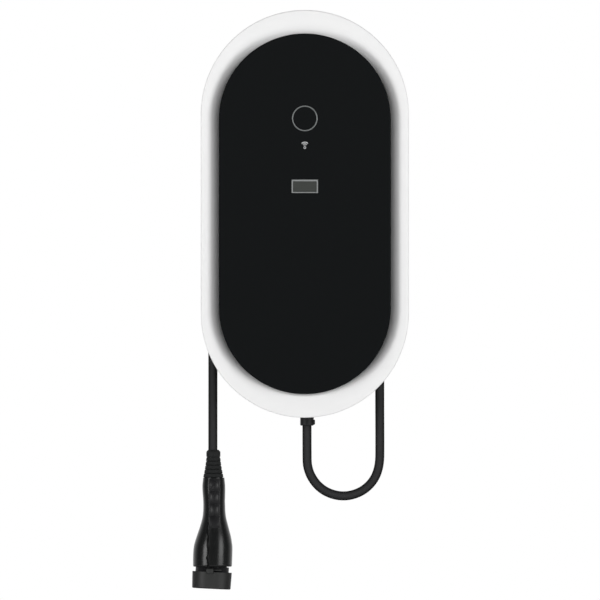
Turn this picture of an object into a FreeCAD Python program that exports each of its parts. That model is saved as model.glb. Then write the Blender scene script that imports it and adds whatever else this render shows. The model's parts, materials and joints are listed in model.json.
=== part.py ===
import FreeCAD, Part
import math
import os

# Charging station for the wall, with its cable hung round a spool at the back of the housing.
# Millimetres, +Z up. The wall is the plane Y = 0 and the front looks along -Y, so a depth in this
# file is a distance from the wall. The origin is the centre of the four wall-fixing holes.

# Housing outline, a stadium: two straight sides and two half circles
body_radius = 125.0
body_side_length = 240.0
shell_wall = 3.0

# Depths from the wall
bracket_plate = 2.0
bracket_gap = 2.0
spool_width = 38.0
base_chamber_depth = 34.0
shell_depth = 36.0
panel_gap = 2.0
panel_thickness = 5.0

# Spool behind the front flange
cable_room = 40.0
flange_inset = 7.0
hub_radius = body_radius - cable_room
rear_flange_radius = body_radius - flange_inset

# Front shell
front_edge_fillet = 3.5
bowl_land = 0.5
bowl_lip_radius = 12.0
bowl_lip_turn = 35.0
bowl_slope_radius = 34.0
bowl_steepness = 76.0
bowl_foot_radius = 4.0
gasket_width = 2.6
gasket_seat_depth = 1.8
shell_seam = 0.2
gasket_inset = 4.0

# Front panel and what stands behind it
panel_margin = 21.75
panel_end_margin = 13.1
panel_radius = body_radius - panel_margin
panel_side_length = body_side_length - panel_end_margin
panel_edge_fillet = 0.8
carrier_plate_inset = 6.25
carrier_plate_thickness = 3.0
pedestal_inset = 18.75
bowl_opening_inset = 14.5
ring_diameter = 32.0
ring_line = 2.5
ring_up = panel_side_length / 2 + 1.65
ring_groove_depth = 1.2
display_width = 32.9
display_height = 17.2
display_line = 2.4
display_up = ring_up - 82.0
window_thickness = 1.5
module_thickness = 4.0
bezel_proud = 0.3
window_recess = 0.5
module_width = 40.0
module_height = 24.0
mark_up = ring_up - 34.1
reader_half = 24.0
reader_board_edge = 4.0
reader_stand = 6.0
board_window = 36.0
pin_radius = 1.0
lamp_height = 1.0
lamp_width = 2.8
clip_inset = 24.5
clip_width = 10.0
clip_thickness = 1.8
clip_slot = 3.4
clip_catch = 2.0
clip_overlap = 0.8
driver_hole = 6.5

# Clearances
fit_gap = 0.15
thread_gap = 0.02
slide_gap = 0.3
wind_gap = 0.3

# Wall fixing and bracket
fixing_across = 80.0
fixing_up = 200.0
fixing_hole = 6.5
bracket_width = 110.0
bracket_top = 130.0
bracket_bottom = -162.0
hook_across = 44.0
hook_width = 20.0
hook_up = 100.0
hook_reach = 9.0
hook_lip = 8.0
lock_screw_across = 60.0
lock_screw_up = -75.0
lock_boss_radius = 4.5
supply_up = -138.0
supply_bore = 18.0
grommet_wall = 2.5

# Screws: shank diameter, head diameter and head height
small_screw = 3.0
small_head = 5.5
small_head_height = 2.0
large_screw = 4.0
large_head = 7.5
large_head_height = 2.6
housing_screw_step = 6.5
housing_screw_bite = 12.0
housing_screw_angles = (40.0, 140.0, 220.0, 320.0)
carrier_screw_step = 8.5
carrier_screw_bite = 9.0
screw_boss_wall = 3.0

# Main board and what stands on it
board_side_gap = 20.0
board_top_gap = 37.0
board_meter_gap = 30.0
board_depth = 24.0
board_thickness = 1.6
board_inset = 8.0
relay_width = 27.0
relay_count = 3
relay_edge = 14.0
relay_top_gap = 58.0
relay_fillet = 1.2
relay_length = 30.0
relay_height = 25.0
relay_pitch = 34.0
sensor_radius = 15.0
sensor_bore = 9.0
sensor_length = 14.0
sensor_edge = 17.0
sensor_start = 30.0
sensor_foot = 4.0
radio_board_gap = 2.0
radio_board_edge = 18.0
radio_board_height = 40.0
radio_board_drop = 30.0
radio_spacer_inset = 5.0
radio_shield_height = 18.0
radio_shield_thickness = 3.0
radio_spacer = 16.0
spacer_flats = 5.5

# Rail, meter and terminals
rail_up = 25.0 - body_side_length / 2
rail_height = 35.0
rail_length = 108.0
rail_depth = 7.5
rail_sheet = 1.0
rail_foot = 5.0
meter_width = 36.0
meter_height = 90.0
meter_depth = 58.0
meter_across = -34.0
latch_width = 8.0
latch_travel = 4.0
latch_handle = 7.0
claw_thickness = 1.4
claw_grip = 2.6
claw_wall = 3.0
latch_thickness = 3.0
terminal_width = 8.0
terminal_count = 5
terminal_height = 46.0
terminal_depth = 38.0
terminal_across = 16.0
terminal_screw_radius = 2.2
terminal_screw_depth = 6.0
terminal_screw_share = 0.3
terminal_funnel_radius = 2.6

# Cable and gland
cable_diameter = 11.0
loop_sag = 86.9
loop_side_drop = 55.0
loop_corner = 16.8
loop_corner_drop = 78.1
loop_tuck = 0.15
drop_step = 4.5
# The strand's climb out of the turns: angle round the lower end, distance past the hub and way back
# from the middle column
drop_climb = ((-60.0, 16.0, 12.0), (-41.7, 19.5, 9.5), (-24.1, 25.1, 5.0), (-6.9, 27.8, 1.0))
gland_across = 2.6
gland_stand = 0.9
gland_radius = 8.15
gland_flange = 1.8
gland_nut_height = 8.0
gland_thread_radius = 7.6
gland_screw_radius = 1.0
gland_screw_inset = 2.2
gland_screw_head_step = 0.7
gland_screw_head_height = 0.9
seal_radius = 6.6
gland_locknut_flats = 20.0
gland_locknut_height = 3.5
gland_pad_radius = 12.6
gland_pad_rise = 1.2
gland_lug_reach = 9.7
gland_lug_width = 7.0
clamp_rise = 30.0
clamp_shoulder = 3.0
clamp_tail = 18.0
clamp_width = 30.0
clamp_height = 10.0
clamp_screw_across = 22.0

# Connector on the cable's end, measured down its own axis from the top of the boot
connector_step = 3.9
connector_drop = 39.1
boot_shift = 0.6
nose_shift = -0.6
boot_length = 33.6
boot_rings = 4
boot_top_width = 14.6
boot_end_width = 24.4
handle_length = 107.4
neck_width = 40.2
neck_length = 6.4
cap_top_width = 47.6
cap_end_width = 46.4
cap_length = 20.2
cap_depth_share = 0.98
cap_tilt = 2.8
nose_length = 16.0
insert_radius = 17.5
handle_wall = 2.6
pad_width = 13.8
pad_count = 4
pad_raise = 0.8
power_pin_radius = 3.0
signal_pin_radius = 1.5
contact_length = 18.0
nose_inner = 14.0
nose_wall = 2.0
nose_recess = 9.0
nose_flat_share = 0.78
seam_shift = -4.4
boot_grip = 9.0
boot_ring_pitch = 5.2
handle_rim_fillet = 1.5
handle_screw_shares = (0.2644, 0.73)
handle_screw_radius = 1.4
pad_pitch = 0.14 * handle_length
cap_edge_fillet = 1.5
tab_width = 9.0
tab_height = 3.6
tab_shift = -3.0

# Depths that follow from the ones above
base_back_depth = bracket_plate + bracket_gap
groove_back_depth = base_back_depth + shell_wall
flange_depth = groove_back_depth + spool_width
flange_front_depth = flange_depth + shell_wall
base_rim_depth = flange_front_depth + base_chamber_depth
shell_front_depth = base_rim_depth + shell_depth
gland_depth = flange_front_depth + gland_pad_radius + gland_stand
panel_back_depth = shell_front_depth + panel_gap
panel_front_depth = panel_back_depth + panel_thickness

# Outlines that follow from the housing's and the panel's
body_low = -body_side_length / 2 - body_radius
carrier_plate_radius = panel_radius - carrier_plate_inset
pedestal_radius = panel_radius - pedestal_inset
bowl_opening_radius = pedestal_radius - bowl_opening_inset
housing_screw_radius = pedestal_radius + housing_screw_step
carrier_screw_radius = pedestal_radius - carrier_screw_step
clip_across = pedestal_radius - clip_inset
board_width = 2 * (hub_radius - shell_wall - board_side_gap)
board_top = body_side_length / 2 + hub_radius - board_top_gap
board_bottom = rail_up + meter_height / 2 + board_meter_gap
relay_left = relay_edge - board_width / 2
sensor_across = board_width / 2 - sensor_edge
sensor_up = board_bottom + sensor_start
radio_left = relay_left + relay_length + radio_board_gap
radio_board_width = board_width / 2 - radio_board_edge - radio_left
radio_across = radio_left + radio_board_width / 2
radio_board_up = board_top - radio_board_drop
clamp_up = body_low + clamp_rise
connector_across = -hub_radius - 2 * cable_diameter - connector_step
connector_top = body_low - connector_drop

# The bowl's slope drops over a lip, a long bend and a foot
lip_turn = math.radians(bowl_lip_turn)
steep_turn = math.radians(bowl_steepness)
bowl_crest = body_radius - front_edge_fillet - bowl_land
lip_drop = bowl_lip_radius * (1 - math.cos(lip_turn))
slope_drop = bowl_slope_radius * (math.cos(lip_turn) - math.cos(steep_turn))
foot_drop = bowl_foot_radius * (1 - math.cos(steep_turn))
bowl_floor_depth = shell_front_depth - lip_drop - slope_drop - foot_drop
bowl_back_depth = bowl_floor_depth - shell_wall

# Columns of the winding, counted from the front flange towards the wall
cable_radius = cable_diameter / 2
first_column_depth = flange_depth - 1.0 - cable_radius
last_column_depth = groove_back_depth + 0.5 + cable_radius
middle_column_depth = (first_column_depth + last_column_depth) / 2


def at(x, depth, z):
    """A point from its distance to the right, its depth from the wall and its height."""
    return FreeCAD.Vector(x, -depth, z)


def box(x_range, depth_range, z_range):
    """A plain block between two values on each axis."""
    corner = at(x_range[0], depth_range[1], z_range[0])
    return Part.makeBox(
        x_range[1] - x_range[0], depth_range[1] - depth_range[0], z_range[1] - z_range[0], corner
    )


def rod(radius, depth_range, x=0.0, z=0.0):
    """A cylinder that points away from the wall."""
    length = depth_range[1] - depth_range[0]
    return Part.makeCylinder(radius, length, at(x, depth_range[0], z), FreeCAD.Vector(0, -1, 0))


def post(radius, z_range, x=0.0, depth=0.0):
    """An upright cylinder."""
    length = z_range[1] - z_range[0]
    return Part.makeCylinder(radius, length, at(x, depth, z_range[0]), FreeCAD.Vector(0, 0, 1))


def sleeve(outer, inner, depth_range, x=0.0, z=0.0):
    """A tube that points away from the wall."""
    return rod(outer, depth_range, x, z).cut(rod(inner, depth_range, x, z))


def fused(shapes):
    """One solid from overlapping or touching ones."""
    whole = shapes[0].multiFuse(shapes[1:]) if len(shapes) > 1 else shapes[0]
    return whole.removeSplitter()


def cut_all(shape, tools):
    """The shape less every tool."""
    return shape.cut(tools) if tools else shape


def stadium_wire(radius, straight, depth, across=0.0, up=0.0):
    """The outline of two half circles joined by two straight sides, at one depth."""
    half = straight / 2
    right_top = at(across + radius, depth, up + half)
    left_top = at(across - radius, depth, up + half)
    left_bottom = at(across - radius, depth, up - half)
    right_bottom = at(across + radius, depth, up - half)
    over = Part.Arc(right_top, at(across, depth, up + half + radius), left_top).toShape()
    left = Part.LineSegment(left_top, left_bottom).toShape()
    under = Part.Arc(left_bottom, at(across, depth, up - half - radius), right_bottom).toShape()
    right = Part.LineSegment(right_bottom, right_top).toShape()
    return Part.Wire([over, left, under, right])


def stadium_plate(radius, straight, depth_range):
    """A slab with the stadium outline."""
    face = Part.Face(stadium_wire(radius, straight, depth_range[0]))
    return face.extrude(at(0, depth_range[1] - depth_range[0], 0))


def stadium_ring(outer, inner, straight, depth_range):
    """A band between two stadium outlines with the same centres."""
    return stadium_plate(outer, straight, depth_range).cut(stadium_plate(inner, straight, depth_range))


def swept_round(profile, straight):
    """A profile in the plane of radius and depth, carried once round the stadium."""
    half = straight / 2
    face = Part.Face(profile)
    top = face.copy()
    top.translate(at(0, 0, half))
    top = top.revolve(at(0, 0, half), FreeCAD.Vector(0, -1, 0), 180)
    bottom = face.copy()
    bottom.translate(at(0, 0, -half))
    bottom = bottom.revolve(at(0, 0, -half), FreeCAD.Vector(0, -1, 0), -180)
    right = face.copy()
    right.translate(at(0, 0, -half))
    right = right.extrude(at(0, 0, straight))
    left = right.mirror(at(0, 0, 0), FreeCAD.Vector(1, 0, 0))
    return fused([top, right, left, bottom])


def polygon(points):
    """A closed outline through a few points of radius and depth."""
    corners = [at(radius, depth, 0) for radius, depth in points]
    return Part.makePolygon(corners + [corners[0]])


def screw(shank_radius, head_radius, head_height, head_depth, tip_depth, x, z):
    """A pan-head screw driven towards the wall, with a cross recess as a plain socket."""
    head = rod(head_radius, (head_depth, head_depth + head_height), x, z)
    shank = rod(shank_radius, (tip_depth, head_depth), x, z)
    socket = rod(shank_radius * 0.6, (head_depth + head_height * 0.5, head_depth + head_height), x, z)
    return fused([head, shank]).cut(socket)


def rounded_section(width, thickness, corner, across, depth, up):
    """A rounded rectangle that lies level, as one cross section of a handle."""
    x = width / 2
    y = thickness / 2
    r = min(corner, x * 0.96, y * 0.96)
    slant = r * (1 - math.sqrt(0.5))
    edges = []
    for turn_x, turn_y in ((1, 1), (-1, 1), (-1, -1), (1, -1)):
        side = at(across + turn_x * x, depth + turn_y * (y - r), up)
        bend = at(across + turn_x * (x - slant), depth + turn_y * (y - slant), up)
        end = at(across + turn_x * (x - r), depth + turn_y * y, up)
        first, last = (side, end) if turn_x == turn_y else (end, side)
        edges.append(Part.Arc(first, bend, last).toShape())
    closed = []
    for index, edge in enumerate(edges):
        following = edges[(index + 1) % 4]
        closed.append(edge)
        closed.append(Part.LineSegment(edge.Vertexes[-1].Point, following.Vertexes[0].Point).toShape())
    return Part.Wire(closed)


def route_wire(points):
    """Straight runs joined by arcs as large as the runs allow, with the arcs' radii."""
    edges = []
    radii = []
    start = points[0]
    for before, corner, after in zip(points, points[1:], points[2:]):
        back = (before - corner).normalize()
        on = (after - corner).normalize()
        half_turn = (math.pi - back.getAngle(on)) / 2
        reach = 0.45 * min(before.distanceToPoint(corner), after.distanceToPoint(corner))
        radius = reach / math.tan(half_turn)
        radii.append(radius)
        bisector = (back + on).normalize()
        middle = corner + bisector * (radius / math.cos(half_turn) - radius)
        arc_start = corner + back * reach
        arc_end = corner + on * reach
        edges.append(Part.LineSegment(start, arc_start).toShape())
        edges.append(Part.Arc(arc_start, middle, arc_end).toShape())
        start = arc_end
    edges.append(Part.LineSegment(start, points[-1]).toShape())
    return Part.Wire(edges), radii


def cable_tube(name, points):
    """The cable along a route, with a printout of its length, volume and bend radii."""
    path, radii = route_wire(points)
    direction = points[1] - points[0]
    section = Part.Wire([Part.Circle(points[0], direction, cable_radius).toShape()])
    tube = path.makePipeShell([section], True, True)
    expected = math.pi * cable_radius**2 * path.Length
    print(name, "length", round(path.Length, 1), "volume ratio", round(tube.Volume / expected, 4))
    print(name, "bend radii", [round(radius, 1) for radius in radii])
    return tube


def lock_screw_places():
    """Where the two screws sit that lock the housing to the bracket."""
    return [(side * lock_screw_across / 2, lock_screw_up) for side in (-1, 1)]


def wall_bracket():
    """Folded steel plate with four wall holes, a cable hole and two hooks."""
    plate = box((-bracket_width / 2, bracket_width / 2), (0, bracket_plate), (bracket_bottom, bracket_top))
    upright = [edge for edge in plate.Edges if abs(edge.tangentAt(edge.FirstParameter).y) > 0.9]
    plate = plate.makeFillet(8.0, upright)
    holes = [rod(supply_bore / 2 + 7.0, (-1, bracket_plate + 1), 0, supply_up)]
    for x in (-fixing_across / 2, fixing_across / 2):
        for z in (-fixing_up / 2, fixing_up / 2):
            holes.append(rod(fixing_hole / 2, (-1, bracket_plate + 1), x, z))
    hooks = []
    for side in (-1, 1):
        across = side * hook_across / 2
        span = (across - hook_width / 2, across + hook_width / 2)
        leg = box(span, (bracket_plate / 2, hook_reach + bracket_plate), (hook_up - bracket_plate, hook_up))
        lip = box(span, (hook_reach, hook_reach + bracket_plate), (hook_up - bracket_plate, hook_up + hook_lip))
        hooks.extend([leg, lip])
        window = box(span, (-1, bracket_plate + 1), (hook_up, hook_up + hook_reach))
        holes.append(window)
    bosses = [rod(lock_boss_radius, (bracket_plate / 2, base_back_depth - fit_gap), x, z)
              for x, z in lock_screw_places()]
    threads = [rod(large_screw / 2, (-1, base_back_depth + 1), x, z) for x, z in lock_screw_places()]
    return fused([cut_all(plate, holes)] + hooks + bosses).cut(threads)


def bracket_screws():
    """Two machine screws from inside the housing into the bracket."""
    head_seat = groove_back_depth
    return Part.makeCompound([
        screw(large_screw / 2 - fit_gap, large_head / 2, large_head_height, head_seat, bracket_plate / 2, x, z)
        for x, z in lock_screw_places()
    ])


def housing_screw_places():
    """Centres of the screws that close the housing, on the stadium that runs round the hub."""
    places = []
    for angle in housing_screw_angles:
        turn = math.radians(angle)
        up = math.copysign(panel_side_length / 2, math.sin(turn))
        places.append((housing_screw_radius * math.cos(turn), up + housing_screw_radius * math.sin(turn)))
    places.extend([(-housing_screw_radius, 0.0), (housing_screw_radius, 0.0)])
    return places


def board_places():
    """The four screw places of the main board."""
    across = board_width / 2 - board_inset
    return [(x, z) for x in (-across, across) for z in (board_bottom + board_inset, board_top - board_inset)]


def rail_screw_places():
    """The two feet of the rail."""
    return [(-rail_length / 2 + 8.0, rail_up), (rail_length / 2 - 8.0, rail_up)]


def clamp_places():
    """The two screws of the cable clamp."""
    return [(gland_across + side * clamp_screw_across / 2, clamp_up) for side in (-1, 1)]


def rear_housing():
    """Moulded base: back wall, hub of the spool, two flanges, outer wall, bosses and seats."""
    hub_inner = hub_radius - shell_wall
    inner = body_radius - shell_wall
    rim_inner = body_radius - gasket_inset - gasket_width - 2.0
    outline = polygon([
        (0, base_back_depth),
        (rear_flange_radius, base_back_depth),
        (rear_flange_radius, groove_back_depth),
        (hub_radius, groove_back_depth),
        (hub_radius, flange_depth),
        (body_radius, flange_depth),
        (body_radius, base_rim_depth),
        (rim_inner, base_rim_depth),
        (rim_inner, base_rim_depth - 5.0),
        (inner, base_rim_depth - 5.0 - (inner - rim_inner)),
        (inner, flange_front_depth),
        (hub_inner, flange_front_depth),
        (hub_inner, groove_back_depth),
        (0, groove_back_depth),
    ])
    shell = swept_round(outline, body_side_length)
    added = []
    removed = [stadium_ring(body_radius - gasket_inset, body_radius - gasket_inset - gasket_width,
                            body_side_length, (base_rim_depth - gasket_seat_depth, base_rim_depth + 1))]
    boss_radius = small_screw / 2 + screw_boss_wall
    for x, z in housing_screw_places():
        added.append(rod(boss_radius, (flange_depth + 1, bowl_back_depth - fit_gap), x, z))
        removed.append(rod(small_screw / 2, (flange_front_depth + 2, bowl_floor_depth), x, z))
    for x, z in board_places():
        added.append(rod(boss_radius, (groove_back_depth - 1, board_depth), x, z))
        removed.append(rod(small_screw / 2, (groove_back_depth + 1, board_depth + 1), x, z))
    for x, z in rail_screw_places():
        added.append(rod(boss_radius, (groove_back_depth - 1, groove_back_depth + rail_foot), x, z))
        removed.append(rod(small_screw / 2, (groove_back_depth, groove_back_depth + rail_foot + 1), x, z))
    for x, z in clamp_places():
        added.append(rod(boss_radius, (flange_front_depth - 1, gland_depth - cable_radius), x, z))
        removed.append(rod(small_screw / 2, (flange_front_depth + 1, gland_depth), x, z))
    for x, z in lock_screw_places():
        removed.append(rod(large_screw / 2 + fit_gap, (0, groove_back_depth + 1), x, z))
    for side in (-1, 1):
        across = side * hook_across / 2
        half = hook_width / 2 + 1.0
        removed.append(box((across - half, across + half), (0, groove_back_depth + 1),
                           (hook_up - hook_lip - 4.0, hook_up + fit_gap)))
    removed.append(rod(supply_bore / 2, (0, groove_back_depth + 1), 0, supply_up))
    pad_bottom, _, _ = gland_levels()
    pad_top = gland_seat()
    added.append(post(gland_radius + 0.8, (pad_bottom, pad_top), gland_across, gland_depth))
    added.append(post(gland_pad_radius, (pad_bottom + shell_wall / 2, pad_top), gland_across, gland_depth))
    removed.append(post(gland_thread_radius + fit_gap, (pad_bottom - 5, pad_top + 5), gland_across, gland_depth))
    return cut_all(fused([shell] + added), removed)


def housing_gasket():
    """Cord seal in the groove of the base's rim."""
    outer = body_radius - gasket_inset - fit_gap
    inner = body_radius - gasket_inset - gasket_width + fit_gap
    return stadium_ring(outer, inner, body_side_length,
                        (base_rim_depth - gasket_seat_depth, base_rim_depth + shell_seam))


def bowl_face(offset):
    """The region in front of the bowl's slope, with the slope moved back by an offset."""
    def polar(centre, radius, turn, facing):
        return at(centre[0] - facing * radius * math.sin(turn), centre[1] + facing * radius * math.cos(turn), 0)

    def bend(centre, radius, turns, facing):
        first, last = turns
        stops = [polar(centre, radius, turn, facing) for turn in (first, (first + last) / 2, last)]
        return Part.Arc(*stops).toShape()

    lip_centre = (bowl_crest, shell_front_depth - bowl_lip_radius)
    step = bowl_lip_radius - bowl_slope_radius
    slope_centre = (lip_centre[0] - step * math.sin(lip_turn), lip_centre[1] + step * math.cos(lip_turn))
    step = bowl_slope_radius + bowl_foot_radius
    foot_centre = (slope_centre[0] - step * math.sin(steep_turn),
                   slope_centre[1] + step * math.cos(steep_turn))
    lip = bend(lip_centre, bowl_lip_radius - offset, (0.0, lip_turn), 1)
    slope = bend(slope_centre, bowl_slope_radius - offset, (lip_turn, steep_turn), 1)
    foot = bend(foot_centre, bowl_foot_radius + offset, (steep_turn, 0.0), -1)
    crest = lip.Vertexes[0].Point
    floor = foot.Vertexes[-1].Point
    above = shell_front_depth + 5.0
    corners = [floor, at(0, -floor.y, 0), at(0, above, 0), at(crest.x, above, 0), crest]
    straights = [Part.LineSegment(a, b).toShape() for a, b in zip(corners, corners[1:])]
    return Part.Wire(Part.__sortEdges__([lip, slope, foot] + straights))


def front_shell():
    """White front frame: outer wall, bent bowl and flat floor, hollow behind, open in the middle."""
    back = base_rim_depth + shell_seam
    solid = stadium_plate(body_radius, body_side_length, (back, shell_front_depth))
    front_edges = [edge for edge in solid.Edges
                   if abs(edge.BoundBox.YMin + shell_front_depth) < 0.01
                   and abs(edge.BoundBox.YMax + shell_front_depth) < 0.01]
    solid = solid.makeFillet(front_edge_fillet, front_edges)
    hollow = stadium_plate(body_radius - shell_wall, body_side_length, (back - 1, shell_front_depth - shell_wall))
    hollow = hollow.cut(swept_round(bowl_face(shell_wall), panel_side_length))
    opening = stadium_plate(bowl_opening_radius, panel_side_length, (back, shell_front_depth))
    removed = [swept_round(bowl_face(0.0), panel_side_length), hollow, opening]
    for x, z in housing_screw_places() + carrier_screw_places():
        removed.append(rod(small_screw / 2 + fit_gap, (back, bowl_floor_depth + 1), x, z))
    return cut_all(solid, removed)


def housing_screws():
    """Six screws from the bowl's floor into the bosses of the base."""
    return Part.makeCompound([
        screw(small_screw / 2 - thread_gap, small_head / 2, small_head_height, bowl_floor_depth,
              bowl_back_depth - housing_screw_bite, x, z)
        for x, z in housing_screw_places()
    ])


def carrier_screw_places():
    """Six places round the inside of the pedestal."""
    half = panel_side_length / 2
    places = []
    for up in (-half, half):
        for turn in (50.0, 130.0):
            reach = carrier_screw_radius
            lift = reach * math.sin(math.radians(turn))
            places.append((reach * math.cos(math.radians(turn)), up + math.copysign(lift, up)))
    places.extend([(-carrier_screw_radius, 0.0), (carrier_screw_radius, 0.0)])
    return places


def clip_places():
    """Where the panel's hooks drop through the carrier's plate."""
    half = panel_side_length / 2
    return [(x, z) for x in (-clip_across, clip_across) for z in (-half, 0.0, half)]


def panel_carrier():
    """Black pedestal: a wall on the bowl's floor, a plate behind the panel, bosses and slots."""
    wall = stadium_ring(pedestal_radius, pedestal_radius - shell_wall, panel_side_length,
                        (bowl_floor_depth, panel_back_depth - 1))
    plate_back = panel_back_depth - carrier_plate_thickness
    plate = stadium_plate(carrier_plate_radius, panel_side_length, (plate_back, panel_back_depth))
    bosses = [rod(small_screw / 2 + screw_boss_wall, (bowl_floor_depth, panel_back_depth - 1), x, z)
              for x, z in carrier_screw_places()]
    removed = [rod(small_screw / 2, (bowl_floor_depth - 1, plate_back - 2), x, z)
               for x, z in carrier_screw_places()]
    removed += [rod(driver_hole / 2, (bowl_floor_depth, panel_front_depth), x, z)
                for x, z in housing_screw_places()]
    for x, z in clip_places():
        removed.append(box((x - clip_width / 2 - slide_gap, x + clip_width / 2 + slide_gap),
                           (plate_back - 1, panel_front_depth),
                           (z - clip_slot / 2, z + clip_slot / 2)))
    for z, width, height in ((ring_up, board_window, board_window),
                             (display_up, module_width + 2 * slide_gap, module_height + 2 * slide_gap)):
        removed.append(box((-width / 2, width / 2), (plate_back - 1, panel_front_depth),
                           (z - height / 2, z + height / 2)))
    frames = [sleeve(small_screw / 2 + screw_boss_wall, small_screw / 2,
                     (plate_back - reader_stand, plate_back + 1), x, z)
              for x, z in reader_places()]
    return cut_all(fused([wall, plate] + bosses + frames), removed)


def carrier_screws():
    """Six screws from behind the bowl's floor into the pedestal."""
    screws = []
    for x, z in carrier_screw_places():
        head = rod(small_head / 2, (bowl_back_depth - small_head_height, bowl_back_depth), x, z)
        shank = rod(small_screw / 2 - thread_gap, (bowl_back_depth, bowl_floor_depth + carrier_screw_bite), x, z)
        screws.append(fused([head, shank]))
    return Part.makeCompound(screws)


def ring_pin_places():
    """Four light pins on the middle line of the status ring."""
    reach = (ring_diameter - ring_line) / 2
    turns = [math.radians(45 + 90 * index) for index in range(4)]
    return [(reach * math.cos(turn), ring_up + reach * math.sin(turn)) for turn in turns]


def front_panel():
    """Black panel with a softened edge, ring groove, display opening and hooks behind."""
    solid = stadium_plate(panel_radius, panel_side_length, (panel_back_depth, panel_front_depth))
    front_edges = [edge for edge in solid.Edges
                   if abs(edge.BoundBox.YMin + panel_front_depth) < 0.01
                   and abs(edge.BoundBox.YMax + panel_front_depth) < 0.01]
    solid = solid.makeFillet(panel_edge_fillet, front_edges)
    groove = sleeve(ring_diameter / 2, ring_diameter / 2 - ring_line,
                    (panel_front_depth - ring_groove_depth, panel_front_depth + 1), 0, ring_up)
    opening = box((-display_width / 2, display_width / 2), (panel_back_depth - 1, panel_front_depth + 1),
                  (display_up - display_height / 2, display_up + display_height / 2))
    pins = [rod(pin_radius + fit_gap, (panel_back_depth - 1, panel_front_depth), x, z)
            for x, z in ring_pin_places()]
    solid = cut_all(solid, [groove, opening] + pins)
    hooks = []
    hook_end = panel_back_depth - carrier_plate_thickness - clip_catch - slide_gap
    for x, z in clip_places():
        span = (x - clip_width / 2, x + clip_width / 2)
        hooks.append(box(span, (hook_end, panel_back_depth + 1), (z - clip_thickness / 2, z + clip_thickness / 2)))
        catch = polygon_prism([(hook_end, z - clip_thickness / 2), (hook_end, z + clip_thickness / 2),
                               (hook_end + clip_catch, z + clip_slot / 2 + clip_overlap),
                               (hook_end + clip_catch, z - clip_thickness / 2)], span)
        hooks.append(catch)
    return fused([solid] + hooks)


def polygon_prism(points, x_range):
    """A block whose side outline is a few points of depth and height."""
    corners = [at(x_range[0], depth, z) for depth, z in points]
    face = Part.Face(Part.makePolygon(corners + [corners[0]]))
    return face.extrude(at(x_range[1] - x_range[0], 0, 0))


def status_ring():
    """Light ring with four pins that reach the lamps behind the panel."""
    base = panel_front_depth - ring_groove_depth
    ring = sleeve(ring_diameter / 2 - fit_gap, ring_diameter / 2 - ring_line + fit_gap,
                  (base, panel_front_depth), 0, ring_up)
    pins = [rod(pin_radius, (panel_back_depth, base + 0.5), x, z) for x, z in ring_pin_places()]
    return fused([ring] + pins)


def status_board():
    """Round board behind the ring with one lamp under each pin."""
    front = panel_back_depth - lamp_height - fit_gap
    disc = rod(board_window / 2 - 1.0, (front - board_thickness, front), 0, ring_up)
    half = lamp_width / 2
    lamps = [box((x - half, x + half), (front - 0.2, front + lamp_height), (z - half, z + half))
             for x, z in ring_pin_places()]
    return fused([disc] + lamps)


def display_bezel():
    """Thin frame round the display, in the panel's opening."""
    outer_x = display_width / 2 - fit_gap
    outer_z = display_height / 2 - fit_gap
    inner_x = display_width / 2 - display_line
    inner_z = display_height / 2 - display_line
    depths = (panel_back_depth, panel_front_depth + bezel_proud)
    frame = box((-outer_x, outer_x), depths, (display_up - outer_z, display_up + outer_z))
    hole = box((-inner_x, inner_x), (depths[0] - 1, depths[1] + 1), (display_up - inner_z, display_up + inner_z))
    return frame.cut(hole)


def display_window():
    """Clear window inside the frame."""
    half_x = display_width / 2 - display_line - fit_gap
    half_z = display_height / 2 - display_line - fit_gap
    front = panel_front_depth - window_recess
    return box((-half_x, half_x), (front - window_thickness, front),
               (display_up - half_z, display_up + half_z))


def display_module():
    """Display behind the panel, with its glass raised up to the window."""
    half_x = display_width / 2 - display_line - fit_gap
    half_z = display_height / 2 - display_line - fit_gap
    glass_front = panel_front_depth - window_recess - window_thickness
    glass = box((-half_x, half_x), (panel_back_depth - 1, glass_front),
                (display_up - half_z, display_up + half_z))
    body = box((-module_width / 2, module_width / 2), (panel_back_depth - module_thickness, panel_back_depth),
               (display_up - module_height / 2, display_up + module_height / 2))
    return fused([glass, body])


def reader_places():
    """Four stands of the card reader's board."""
    return [(x, mark_up + z) for x in (-reader_half, reader_half) for z in (-reader_half, reader_half)]


def reader_board():
    """Square antenna board of the card reader, on stands behind the panel."""
    front = panel_back_depth - carrier_plate_thickness - reader_stand
    half = reader_half + reader_board_edge
    board = box((-half, half), (front - board_thickness, front), (mark_up - half, mark_up + half))
    coil = sleeve(half - 8.0, half - 10.0, (front - 0.2, front + 0.6), 0, mark_up)
    holes = [rod(small_screw / 2, (front - 5, front + 5), x, z) for x, z in reader_places()]
    return fused([board, coil]).cut(holes)


def reader_screws():
    """Four screws of the card reader's board, from behind."""
    front = panel_back_depth - carrier_plate_thickness - reader_stand
    back = front - board_thickness
    screws = []
    for x, z in reader_places():
        head = rod(small_head / 2, (back - small_head_height, back), x, z)
        shank = rod(small_screw / 2 - thread_gap, (back, front + 4.0), x, z)
        screws.append(fused([head, shank]))
    return Part.makeCompound(screws)


def supply_grommet():
    """Rubber grommet in the back wall, with a groove that holds the wall's edge."""
    lip = supply_bore / 2 + 2.0
    hole = supply_bore / 2 - grommet_wall
    back = rod(lip, (base_back_depth - 1.5, base_back_depth), 0, supply_up)
    neck = rod(supply_bore / 2, (base_back_depth - 1, groove_back_depth + 1), 0, supply_up)
    front = rod(lip, (groove_back_depth, groove_back_depth + 1.5), 0, supply_up)
    bore = rod(hole, (0, groove_back_depth + 5), 0, supply_up)
    return fused([back, neck, front]).cut(bore)


def main_board():
    """Main circuit board on its four stands."""
    board = box((-board_width / 2, board_width / 2), (board_depth, board_depth + board_thickness),
                (board_bottom, board_top))
    holes = [rod(small_screw / 2 + fit_gap, (board_depth - 1, board_depth + 5), x, z) for x, z in board_places()]
    return board.cut(holes)


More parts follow.
